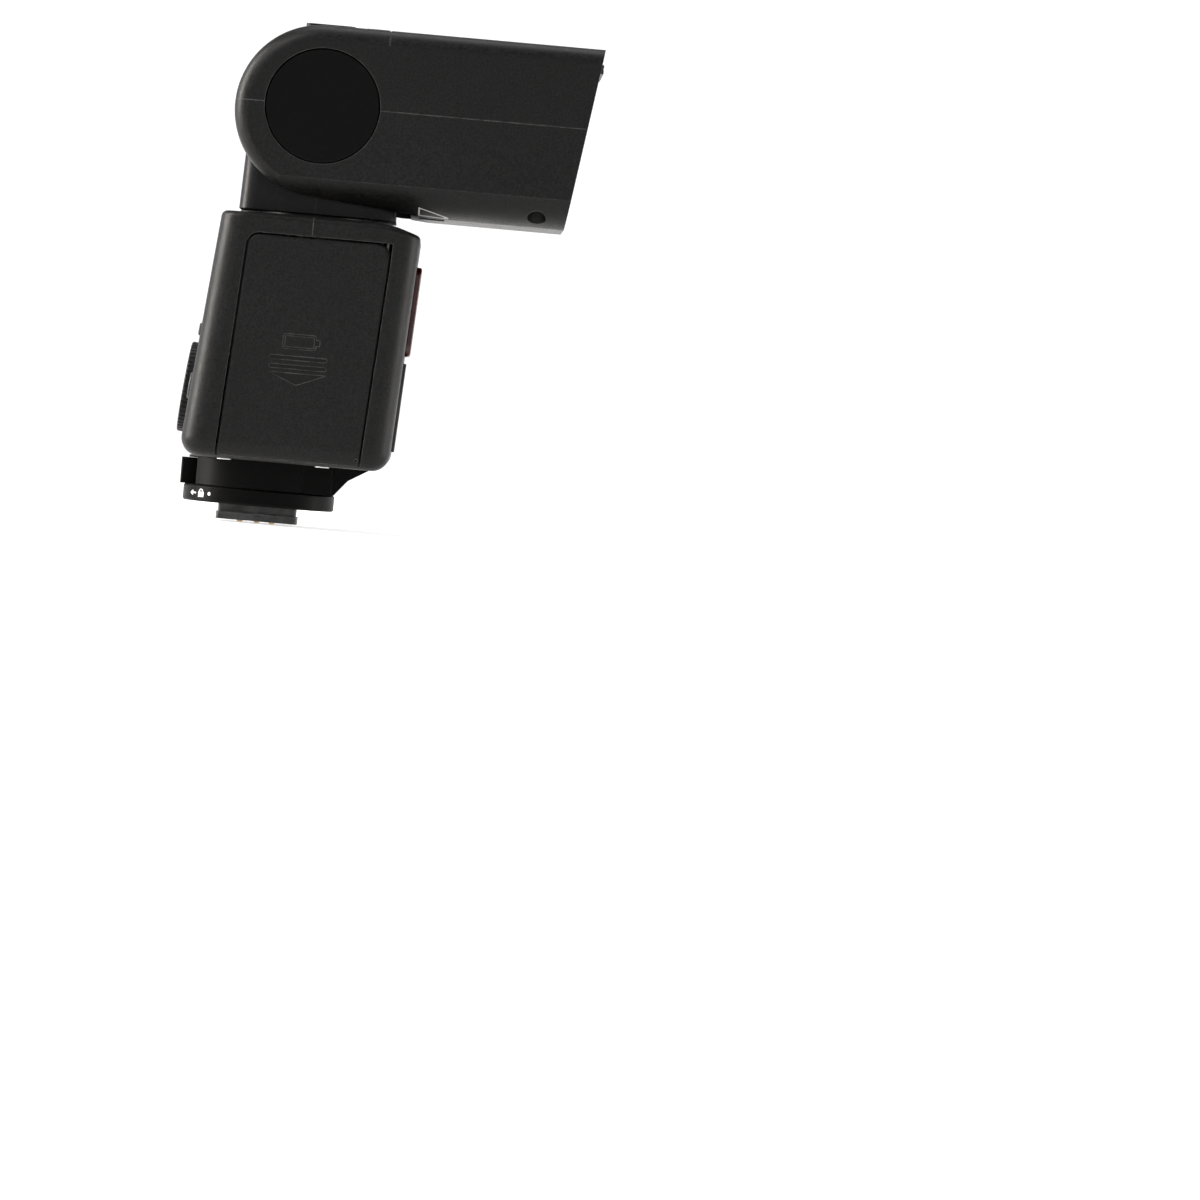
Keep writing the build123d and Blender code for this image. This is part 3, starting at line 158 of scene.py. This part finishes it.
def moulded(name, tones, rough, grain_mm, grain_depth, soften=0.2, edge_wear_and_highlight=None, **sockets):
    """Moulded plastic: fine grain, cloudy tone and sheen, and lighter edges, partly rubbing wear and
    partly a painted highlight.
    """
    finish = Finish(name, **sockets)
    finish.soften(soften)
    cloud = finish.remap(finish.noise(14.0, 4.0), 0.35, 0.65, 0.0, 1.0)
    speck = finish.remap(finish.noise(grain_mm * 1.7, 3.0), 0.35, 0.7, 0.0, 1.0)
    even = finish.remap(cloud, 0.0, 1.0, 0.78, 1.0)
    colour = finish.mix(finish.math("MULTIPLY", even, speck), tones[0], tones[1])
    if edge_wear_and_highlight:
        # Lighter hard edges: partly rubbing wear, partly a painted highlight along groove and outline
        # edges.
        colour = finish.mix(finish.edges(0.35), colour, edge_wear_and_highlight)
    smear = finish.remap(finish.noise(6.0, 5.0, (1.0, 1.0, 0.6)), 0.35, 0.65, -0.03, 0.03)
    sheen = finish.remap(speck, 0.0, 1.0, rough[0], rough[1])
    finish.bump(finish.noise(grain_mm, 3.0), grain_depth)
    return finish.done(colour, finish.math("ADD", sheen, smear))


def metal(name, tones, rough):
    """Metal with fine brushing, darker patches and brighter worn edges."""
    finish = Finish(name, Metallic=1.0)
    finish.soften(0.12)
    lines = finish.noise(0.35, 4.0, (0.15, 1.0, 1.0))
    tarnish = finish.remap(finish.noise(4.0, 5.0), 0.4, 0.68, 0.0, 1.0)
    colour = finish.mix(tarnish, tones[0], tones[1])
    colour = finish.mix(finish.edges(0.25), colour, tones[2])
    finish.bump(lines, 0.006)
    return finish.done(colour, finish.remap(lines, 0.3, 0.7, rough[0], rough[1]))


# The light edge tone is partly a painted highlight on groove and outline edges.
casing = moulded(
    "casing_black",
    (grey(0.0010, 0.03), grey(0.0072, 0.04)),
    (0.34, 0.52),
    0.34,
    0.055,
    edge_wear_and_highlight=grey(0.060, 0.03),
    Specular_IOR_Level=0.14,
)
# Darker, less glossy black than the casing: painted shade for the foot, which sits in the body's
# shadow.
foot_painted_shade = moulded(
    "foot_painted_shade",
    (grey(0.0010, 0.02), grey(0.0018, 0.02)),
    (0.34, 0.46),
    0.25,
    0.012,
    edge_wear_and_highlight=grey(0.012),
    Specular_IOR_Level=0.04,
)
# Darker black than the casing: painted shade for the neck, which sits in shadow under the head.
neck_painted_shade = moulded(
    "neck_painted_shade",
    (grey(0.0008, 0.02), grey(0.0028, 0.03)),
    (0.30, 0.44),
    0.30,
    0.035,
    edge_wear_and_highlight=grey(0.010),
    Specular_IOR_Level=0.14,
)
disc_black = moulded(
    "disc_black",
    (grey(0.0016), grey(0.0028)),
    (0.50, 0.62),
    0.22,
    0.012,
    soften=0.3,
    edge_wear_and_highlight=grey(0.012),
    Specular_IOR_Level=0.045,
)
smooth_black = moulded(
    "smooth_black",
    (grey(0.0030), grey(0.0050)),
    (0.32, 0.44),
    0.22,
    0.010,
    edge_wear_and_highlight=grey(0.02),
    Specular_IOR_Level=0.25,
)
dial_black = moulded(
    "dial_black",
    (grey(0.0015), grey(0.0050)),
    (0.34, 0.48),
    0.25,
    0.010,
    soften=0.1,
    edge_wear_and_highlight=grey(0.04),
    Specular_IOR_Level=0.15,
)
button_grey = moulded(
    "button_grey", (grey(0.016), grey(0.024)), (0.5, 0.62), 0.2, 0.008, edge_wear_and_highlight=grey(0.05)
)
rubber = moulded(
    "soft_rubber", (grey(0.010), grey(0.018)), (0.68, 0.82), 0.4, 0.02, soften=0.35, edge_wear_and_highlight=grey(0.03)
)
white_print = moulded(
    "white_print", (grey(0.55, 0.02), grey(0.80, 0.01)), (0.5, 0.65), 0.12, 0.004, soften=0.02
)
pale_print = moulded(
    "pale_print", (grey(0.26, 0.02), grey(0.40, 0.01)), (0.5, 0.65), 0.12, 0.004, soften=0.02
)
dark_print = moulded(
    "dark_print", (grey(0.006), grey(0.012)), (0.4, 0.5), 0.12, 0.004, soften=0.02
)
lcd_panel = moulded(
    "lcd_panel",
    ((0.135, 0.165, 0.140, 1), (0.165, 0.195, 0.165, 1)),
    (0.28, 0.36),
    0.2,
    0.002,
    soften=0.1,
)
steel = metal("bright_steel", (grey(0.52), grey(0.38, 0.02), grey(0.75)), (0.22, 0.38))
dark_metal = metal("blackened_metal", (grey(0.06), grey(0.035), grey(0.35)), (0.34, 0.5))
brass = metal(
    "gilt_brass",
    ((0.72, 0.48, 0.20, 1), (0.50, 0.31, 0.12, 1), (0.90, 0.68, 0.35, 1)),
    (0.2, 0.36),
)
mirror = metal("lamp_mirror", (grey(0.86), grey(0.78), grey(0.9)), (0.06, 0.14))


def red_glass():
    """Deep red, glossy plastic with a faint cloud and a thin haze."""
    finish = Finish(
        "red_window_glass", IOR=1.49, Coat_Weight=0.2, Coat_Roughness=0.05, Specular_IOR_Level=0.25
    )
    finish.soften(0.4)
    cloud = finish.remap(finish.noise(5.0, 3.0), 0.35, 0.65, 0.0, 1.0)
    colour = finish.mix(cloud, (0.020, 0.0007, 0.0008, 1), (0.034, 0.0010, 0.0012, 1))
    haze = finish.remap(finish.noise(1.6, 4.0), 0.35, 0.7, 0.06, 0.14)
    finish.bump(finish.noise(1.2, 2.0), 0.004)
    return finish.done(colour, haze)


def clear_plastic(name, tint, haze, depth_mm, ripple_mm):
    """Clear moulded plastic with a slight ripple and dusty haze."""
    finish = Finish(name, IOR=1.49, Transmission_Weight=1.0)
    finish.soften(0.15)
    dust = finish.remap(finish.noise(2.2, 5.0), 0.45, 0.7, haze[0], haze[1])
    shade = finish.remap(finish.noise(9.0, 3.0), 0.35, 0.65, 0.0, 1.0)
    deeper = tuple(0.94 * part for part in tint[:3]) + (1.0,)
    finish.bump(finish.noise(ripple_mm, 2.0), depth_mm)
    return finish.done(finish.mix(shade, tint, deeper), dust)


def circuit_board():
    """Green board with raised tracks and tinned pads."""
    finish = Finish("circuit_board")
    tracks = finish.add("TexVoronoi", {"Vector": finish.place, "Scale": 0.45}, distance="MANHATTAN")
    track = finish.remap(tracks.outputs["Distance"], 0.36, 0.44, 0.0, 1.0)
    colour = finish.mix(track, (0.010, 0.075, 0.030, 1), (0.030, 0.16, 0.060, 1))
    pads = finish.remap(finish.noise(1.2, 1.0), 0.66, 0.68, 0.0, 1.0)
    colour = finish.mix(pads, colour, (0.55, 0.55, 0.52, 1))
    finish.bump(track, 0.04)
    return finish.done(colour, finish.remap(finish.noise(3.0), 0.3, 0.7, 0.32, 0.5))


def banded(name, node, axis, split, below, above, rough):
    """A sleeve in two colours, the change at a share of the node's size along an axis."""
    low, high = (corner["XYZ".index(axis)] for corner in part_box(node))
    level = (low + (high - low) * split) / MM
    finish = Finish(name)
    height = finish.add("SeparateXYZ", {"Vector": finish.place}).outputs[axis]
    upper = finish.remap(height, level - 0.1, level + 0.1, 0.0, 1.0)
    colour = finish.mix(upper, below, above)
    scuff = finish.remap(finish.noise(1.8, 5.0, (1.0, 1.0, 0.2)), 0.55, 0.72, 0.0, 0.5)
    colour = finish.mix(scuff, colour, grey(0.35))
    finish.bump(finish.noise(3.0, 3.0), 0.03)
    return finish.done(colour, finish.remap(scuff, 0.0, 0.5, rough, rough + 0.25))


def lipped_panel(name, node, tone, **sockets):
    """A pale panel whose finger lip, the last of its length, is black."""
    lip_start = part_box(node)[1].x / MM - LIP_DEPTH
    finish = Finish(name, **sockets)
    finish.soften(0.15)
    along = finish.add("SeparateXYZ", {"Vector": finish.place}).outputs["X"]
    lip = finish.remap(along, lip_start, lip_start + 0.2, 0.0, 1.0)
    cloud = finish.remap(finish.noise(5.0, 4.0), 0.35, 0.65, 0.85, 1.0)
    white = finish.mix(cloud, grey(0.55), tone)
    finish.bump(finish.noise(0.4, 3.0), 0.01)
    sheen = finish.remap(finish.noise(3.0, 3.0), 0.3, 0.7, 0.4, 0.55)
    return finish.done(finish.mix(lip, white, grey(0.006)), sheen)


red_window = red_glass()
lens_plastic = clear_plastic("lens_acrylic", (0.93, 0.95, 0.95, 1), (0.03, 0.10), 0.01, 1.5)
lamp_plastic = clear_plastic("lamp_acrylic", (0.85, 0.30, 0.28, 1), (0.08, 0.2), 0.02, 0.8)
display_clear = clear_plastic("display_clear", (0.88, 0.90, 0.90, 1), (0.0, 0.03), 0.001, 5.0)
tube_glass = clear_plastic("tube_glass", (0.95, 0.96, 0.98, 1), (0.01, 0.05), 0.004, 3.0)
board = circuit_board()
catchlight_white = lipped_panel("catchlight_panel_white", "catchlight_panel", grey(0.70, 0.02))
wide_clear = lipped_panel(
    "wide_panel_clear", "wide_panel", grey(0.85), Transmission_Weight=0.4, IOR=1.49
)
capacitor_sleeve = banded(
    "capacitor_sleeve", "main_capacitor", "Z", 0.86, (0.012, 0.016, 0.03, 1), grey(0.55), 0.34
)
cell_sleeve = banded(
    "cell_sleeve", "aa_cells", "Y", 0.03, (0.46, 0.45, 0.42, 1), (0.020, 0.022, 0.030, 1), 0.26
)

by_slot = {
    "casing": casing,
    "steel": steel,
    "smooth_black": smooth_black,
    "display": display_clear,
    "button": button_grey,
    "board": board,
    "red_window": red_window,
    "lens": lens_plastic,
    "rubber": rubber,
    "brass": brass,
    "cell": cell_sleeve,
    "capacitor": capacitor_sleeve,
    "dark_metal": dark_metal,
    "white_panel": catchlight_white,
    "mirror": mirror,
    "tube": tube_glass,
    "diffuser": wide_clear,
}
by_node = {
    "side_disc_right": disc_black,
    "side_disc_left": disc_black,
    "select_dial": dial_black,
    "assist_lamp": lamp_plastic,
    "foot_base": foot_painted_shade,
    "lock_ring": foot_painted_shade,
    "lock_lever": foot_painted_shade,
    "index_mark": smooth_black,
    "door_hinge_pin": dark_metal,
    "display_module": lcd_panel,
    "neck_front_shell": neck_painted_shade,
    "neck_rear_shell": neck_painted_shade,
}


def dress(piece, material):
    """Gives every slot of a piece the same material."""
    if not piece.material_slots:
        piece.data.materials.append(material)
    for held in piece.material_slots:
        held.material = material


for part in frame["record"]["subparts"]:
    name = part["node"]
    dress(nodes[name], by_node.get(name, by_slot[part["material_slot"]]))


# ---- mesh building ---------------------------------------------------------------------
def link(name, data):
    """A new object in the scene that holds the given mesh, light or camera."""
    held = bpy.data.objects.new(name, data)
    bpy.context.scene.collection.objects.link(held)
    return held


def mesh_object(name, shape, material):
    """Turns a bmesh into an object, its faces pointing outwards."""
    bmesh.ops.recalc_face_normals(shape, faces=shape.faces)
    mesh = bpy.data.meshes.new(name)
    shape.to_mesh(mesh)
    shape.free()
    piece = link(name, mesh)
    dress(piece, material)
    return piece


def carried(piece, body):
    """Lets a piece move with a CAD body."""
    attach(piece, body)


def plate(shape, near, far):
    """Closes two like rings of vertices, given in the same order, into a plate."""
    for k in range(len(near)):
        following = (k + 1) % len(near)
        shape.faces.new((near[k], near[following], far[following], far[k]))
    shape.faces.new(far)
    shape.faces.new(near[::-1])


def printed(name, outlines, place, material, body):
    """Thin flat marks: each outline is a list of (u, v) in mm, raised along place's z."""
    shape = bmesh.new()
    for outline in outlines:
        near, far = (
            [shape.verts.new((u * MM, v * MM, lift * MM)) for u, v in outline] for lift in (0.0, PRINT)
        )
        plate(shape, near, far)
    bmesh.ops.transform(shape, matrix=place, verts=shape.verts)
    carried(mesh_object(name, shape, material), body)


def bar(u0, v0, u1, v1):
    return [(u0, v0), (u1, v0), (u1, v1), (u0, v1)]


def arc(radius, end, steps, middle=(0.0, 0.0)):
    """Points along an arc from 0 to the given angle, in degrees."""
    turns = [radians(end * k / steps) for k in range(steps + 1)]
    return [(middle[0] + radius * cos(turn), middle[1] + radius * sin(turn)) for turn in turns]


def disc(radius, steps, middle=(0.0, 0.0)):
    return [arc(radius, 360.0, steps, middle)[:-1]]


def ring(radius, width, end, steps, middle=(0.0, 0.0)):
    """Quads along an arc, together a ring or an open hoop."""
    inside = arc(radius - width, end, steps, middle)
    outside = arc(radius, end, steps, middle)
    return [[inside[k], outside[k], outside[k + 1], inside[k + 1]] for k in range(steps)]


def seat(origin, outward, upward):
    """A placing matrix: z along outward, y along upward, at origin."""
    z = Vector(outward).normalized()
    x = Vector(upward).cross(z).normalized()
    y = z.cross(x)
    turned = Matrix((x, y, z)).transposed().to_4x4()
    return Matrix.Translation(origin) @ turned


def outer_seat(node, outward, upward, sink=0.0):
    """The seat on a node's outermost face in the outward direction, at its middle."""
    z = Vector(outward).normalized()
    reach = max(vertex.co.dot(z) for vertex in nodes[node].data.vertices)
    low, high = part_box(node)
    middle = (low + high) / 2
    return seat(middle + z * (reach - middle.dot(z) - sink * MM), outward, upward)


# ---- stage, camera and lights ----------------------------------------------------------
def pale_floor():
    """Nearly white, with some light of its own, so that floor and wall look evenly bright."""
    finish = Finish("pale_floor", Emission_Strength=0.57, Emission_Color=(1, 1, 1, 1))
    tone = finish.remap(finish.noise(90.0, 3.0), 0.3, 0.7, 0.0, 1.0)
    finish.bump(finish.noise(1.2, 2.0), 0.01)
    return finish.done(finish.mix(tone, grey(0.62), grey(0.66)), 0.9)


def sweep():
    """A round pale floor that curves up into a wall on every side."""
    centre, flat, bend, wall, drop = 0.4, 2.7, 0.9, 1.9, 0.0006
    steps, sides = 12, 96
    profile = [(centre, 0.0)]
    for k in range(steps + 1):
        turn = pi / 2 * k / steps
        profile.append((flat + bend * sin(turn), bend * (1 - cos(turn))))
    profile.append((flat + bend, wall))
    around = [2 * pi * side / sides for side in range(sides)]
    shape = bmesh.new()
    rows = [
        [shape.verts.new((reach * cos(turn), reach * sin(turn), height - drop)) for turn in around]
        for reach, height in profile
    ]
    for low, high in zip(rows, rows[1:]):
        for side in range(sides):
            following = (side + 1) % sides
            shape.faces.new((low[side], low[following], high[following], high[side]))
    shape.faces.new(rows[0])
    for face in shape.faces:
        face.smooth = True
    mesh_object("studio_floor", shape, pale_floor())


def area_light(name, location, target, size, power, colour=(1, 1, 1)):
    data = bpy.data.lights.new(name, "AREA")
    data.shape = "RECTANGLE"
    data.size, data.size_y = size
    data.energy = power
    data.color = colour
    light = link(name, data)
    light.location = location
    aim = Vector(target) - Vector(location)
    light.rotation_mode = "QUATERNION"
    light.rotation_quaternion = aim.to_track_quat("-Z", "Y")
    light.visible_camera = False


def camera():
    """Square to the near side, rolled so that the flash leans as it does in the photo."""
    lean = radians(5.0)
    width_seen = 0.3261
    target = Vector((0.0956, -0.037, -0.0126))
    eye = Vector((0.045, -2.037, 0.035))
    back = (eye - target).normalized()
    across = Vector((cos(lean), 0.0, sin(lean)))
    right = (across - back * across.dot(back)).normalized()
    up = back.cross(right)
    data = bpy.data.cameras.new("camera")
    data.sensor_width = 36.0
    data.lens = data.sensor_width * (eye - target).length / width_seen
    data.clip_start, data.clip_end = 0.05, 20.0
    viewer = link("camera", data)
    viewer.rotation_mode = "QUATERNION"
    viewer.rotation_quaternion = Matrix((right, up, back)).transposed().to_quaternion()
    viewer.location = eye
    bpy.context.scene.camera = viewer


def lighting():
    """Two upright strips that draw the edges, a soft key and a soft top light."""
    world = bpy.data.worlds.new("studio")
    world.use_nodes = True
    sky = world.node_tree.nodes["Background"]
    sky.inputs["Color"].default_value = (0.95, 0.97, 1.0, 1)
    sky.inputs["Strength"].default_value = 0.3
    bpy.context.scene.world = world
    middle = (0.03, 0.0, 0.08)
    area_light("rear_strip", (-1.15, 0.05, 0.35), middle, (0.40, 1.3), 52.0, (1.0, 0.96, 0.91))
    area_light("front_strip", (1.15, 0.10, 0.30), middle, (0.30, 1.1), 15.0, (1.0, 0.97, 0.94))
    area_light("key", (-0.65, -0.75, 1.15), middle, (0.6, 0.6), 12.0)
    area_light("top", (0.1, 0.2, 1.2), middle, (0.8, 0.8), 8.0)


bpy.context.scene.view_settings.view_transform = "Standard"
sweep()
camera()
lighting()

# ---- fine details ----------------------------------------------------------------------

def cut_finely(outline, longest):
    """The same outline, with every side wider than the longest allowed cut in four."""
    fine = []
    for start, end in zip(outline, outline[1:] + outline[:1]):
        pieces = 4 if abs(end[0] - start[0]) > longest else 1
        for j in range(pieces):
            share = j / pieces
            fine.append(tuple(a + (b - a) * share for a, b in zip(start, end)))
    return fine


def lock_mark():
    """A padlock, a turning arrow and a dot printed round the lock ring, at its rear right."""
    low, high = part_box("lock_ring")
    radius = (high.y - low.y) / 2 / MM
    height = (low.z + high.z) / 2 / MM
    middle_turn = radians(-138.0)
    padlock = [bar(-1.1, -1.05, 1.1, 0.35)] + ring(0.85, 0.28, 180.0, 16, (0.0, 0.35))
    arrow = [[(-5.1, 0.0), (-3.7, -0.75), (-3.7, 0.75)], bar(-3.7, -0.2, -2.2, 0.2)]
    shape = bmesh.new()
    for outline in padlock + arrow + disc(0.5, 16, (3.2, 0.0)):
        layers = []
        for lift in (TRACE, PRINT):
            reach = (radius + lift) * MM
            layer = []
            for u, v in cut_finely(outline, 0.6):
                turn = middle_turn + u / radius
                layer.append(shape.verts.new((reach * cos(turn), reach * sin(turn), (height + v) * MM)))
            layers.append(layer)
        plate(shape, *layers)
    carried(mesh_object("lock_ring_mark", shape, white_print), "shoe_lock")


def index_mark():
    """A pointed pale outline on the head's turned-under flank, beside the neck."""
    shell = BVHTree.FromObject(nodes["head_lower_shell"], bpy.context.evaluated_depsgraph_get())
    outside_y, points_per_side, width_share = -60.0, 8, 0.2
    corners = [(37.2, 87.35), (45.2, 87.05), (45.6, 87.2), (45.2, 87.45), (37.2, 89.4)]
    middle = (39.4, 87.95)
    inner_corners = [
        tuple(place + (centre - place) * width_share for place, centre in zip(corner, middle))
        for corner in corners
    ]
    shape = bmesh.new()
    rows = []
    for outline in (corners, inner_corners):
        row = []
        for start, end in zip(outline, outline[1:] + outline[:1]):
            for j in range(points_per_side):
                x, z = (a + (b - a) * j / points_per_side for a, b in zip(start, end))
                origin = Vector((x, outside_y, z)) * MM
                point, normal, _, _ = shell.ray_cast(origin, Vector((0, 1, 0)))
                row.append([shape.verts.new(point + normal * lift * MM) for lift in (TRACE, OUTLINE)])
        rows.append(row)
    outer, inner = rows
    for k in range(len(outer)):
        following = (k + 1) % len(outer)
        a, b, c, d = outer[k], outer[following], inner[following], inner[k]
        shape.faces.new((a[1], b[1], c[1], d[1]))
        shape.faces.new((d[0], c[0], b[0], a[0]))
        shape.faces.new((a[0], b[0], b[1], a[1]))
        shape.faces.new((d[1], c[1], c[0], d[0]))
    carried(mesh_object("index_outline", shape, pale_print), "head")


def button_marks():
    """Plain signs on the keys: a lamp, a bar chart, an arrow, a sun-like burst and a bolt."""
    lamp = ring(0.75, 0.22, 360.0, 24) + [bar(-0.3, -1.2, 0.3, -0.9)]
    chart = [bar(u, -0.7, u + 0.4, top) for u, top in ((-0.9, -0.1), (-0.2, 0.35), (0.5, 0.8))]
    arrow = [[(-0.7, -0.7), (0.8, 0.0), (-0.7, 0.7)]]
    burst = disc(0.38, 16)
    for low in (0.55, -1.05):
        burst += [bar(-0.12, low, 0.12, low + 0.5), bar(low, -0.12, low + 0.5, 0.12)]
    bolt = [[(0.25, 1.3), (-0.85, -0.2), (-0.1, -0.2)], [(0.1, 0.2), (0.85, 0.2), (-0.25, -1.3)]]
    keys = [(f"mode_button_{k}", f"mode_key_{k}") for k in (1, 2, 3, 4)] + [("test_button", "test_key")]
    for (node, body), sign in zip(keys, (lamp, chart, arrow, burst, bolt)):
        place = outer_seat(node, REAR_OUT, REAR_UP, 0.01)
        printed(node + "_sign", sign, place, white_print, body)


def lens_ribs():
    """The lens as a real Fresnel plate: upright ribs outside, stepped prisms inside."""
    lean = atan2(7.0, 49.6)                           # the head's front face overhangs
    outward = Vector((cos(lean), 0.0, -sin(lean)))
    place = outer_seat("lens", outward, Vector((sin(lean), 0.0, cos(lean))))
    half_width, half_height, thickness = 31.35, 16.05, 2.3
    rib_sides, rib_depth = 114, 0.16
    teeth, tooth_depth, tooth_land = 26, 0.36, 0.02
    step = 2 * half_width / rib_sides
    tooth = 2 * half_height / teeth
    front = [(-half_width + k * step, -rib_depth * (k % 2)) for k in range(rib_sides + 1)]
    back = []
    for k in range(teeth):
        foot = -half_height + k * tooth
        low_depth, high_depth = (tooth_depth, 0.0) if k < teeth // 2 else (0.0, tooth_depth)
        back.append((foot + tooth_land, -thickness - low_depth))
        back.append((foot + tooth - tooth_land, -thickness - high_depth))
    back[0] = (-half_height, back[0][1])
    back[-1] = (half_height, back[-1][1])
    shape = bmesh.new()
    top, bottom = ([shape.verts.new((u, v, w)) for u, w in front] for v in (half_height, -half_height))
    left, right = ([shape.verts.new((u, v, w)) for v, w in back] for u in (-half_width, half_width))
    for low, high in ((bottom, top), (left, right)):
        for k in range(len(low) - 1):
            shape.faces.new((low[k], low[k + 1], high[k + 1], high[k]))
    shape.faces.new(top + [right[-1], left[-1]])
    shape.faces.new(bottom + [right[0], left[0]])
    shape.faces.new(left + [top[0], bottom[0]])
    shape.faces.new(right + [top[-1], bottom[-1]])
    bmesh.ops.transform(shape, matrix=place @ Matrix.Scale(MM, 4), verts=shape.verts)
    piece = mesh_object("fresnel_lens", shape, lens_plastic)
    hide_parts("lens")
    carried(piece, "head")


def display_marks():
    """Plain dark signs on the display: a scale, a level, a battery, a bolt, a lamp and stairs."""
    scale = [
        bar(-19.2 + 3.8 * k, -8.2, -18.8 + 3.8 * k, -7.0 if k % 5 else -6.0) for k in range(11)
    ]
    level = [bar(-19.0, -5.0, 5.0, -3.6)]
    battery = [bar(12.0, 4.2, 19.0, 4.6), bar(12.0, 7.4, 19.0, 7.8)]
    battery += [bar(12.0, 4.6, 12.4, 7.4), bar(18.6, 4.6, 19.0, 7.4), bar(19.0, 5.4, 19.6, 6.6)]
    battery += [bar(12.9 + 1.9 * k, 5.1, 14.2 + 1.9 * k, 6.9) for k in range(3)]
    bolt = [[(-16.6, 8.2), (-18.6, 4.6), (-17.0, 4.6)], [(-17.0, 4.9), (-15.2, 4.9), (-17.6, 1.2)]]
    flash = [bar(-10.0, 3.4, -3.4, 6.6), [(-3.2, 3.4), (-1.2, 2.6), (-1.2, 7.4), (-3.2, 6.6)]]
    stairs = [bar(1.6 + 1.5 * k, 2.8, 2.5 + 1.5 * k, 3.8 + 0.8 * k) for k in range(5)]
    signs = scale + level + battery + bolt + flash + stairs
    place = outer_seat("display_module", REAR_OUT, REAR_UP)
    printed("display_signs", signs, place, dark_print, "root")


lock_mark()
index_mark()
button_marks()
lens_ribs()
display_marks()
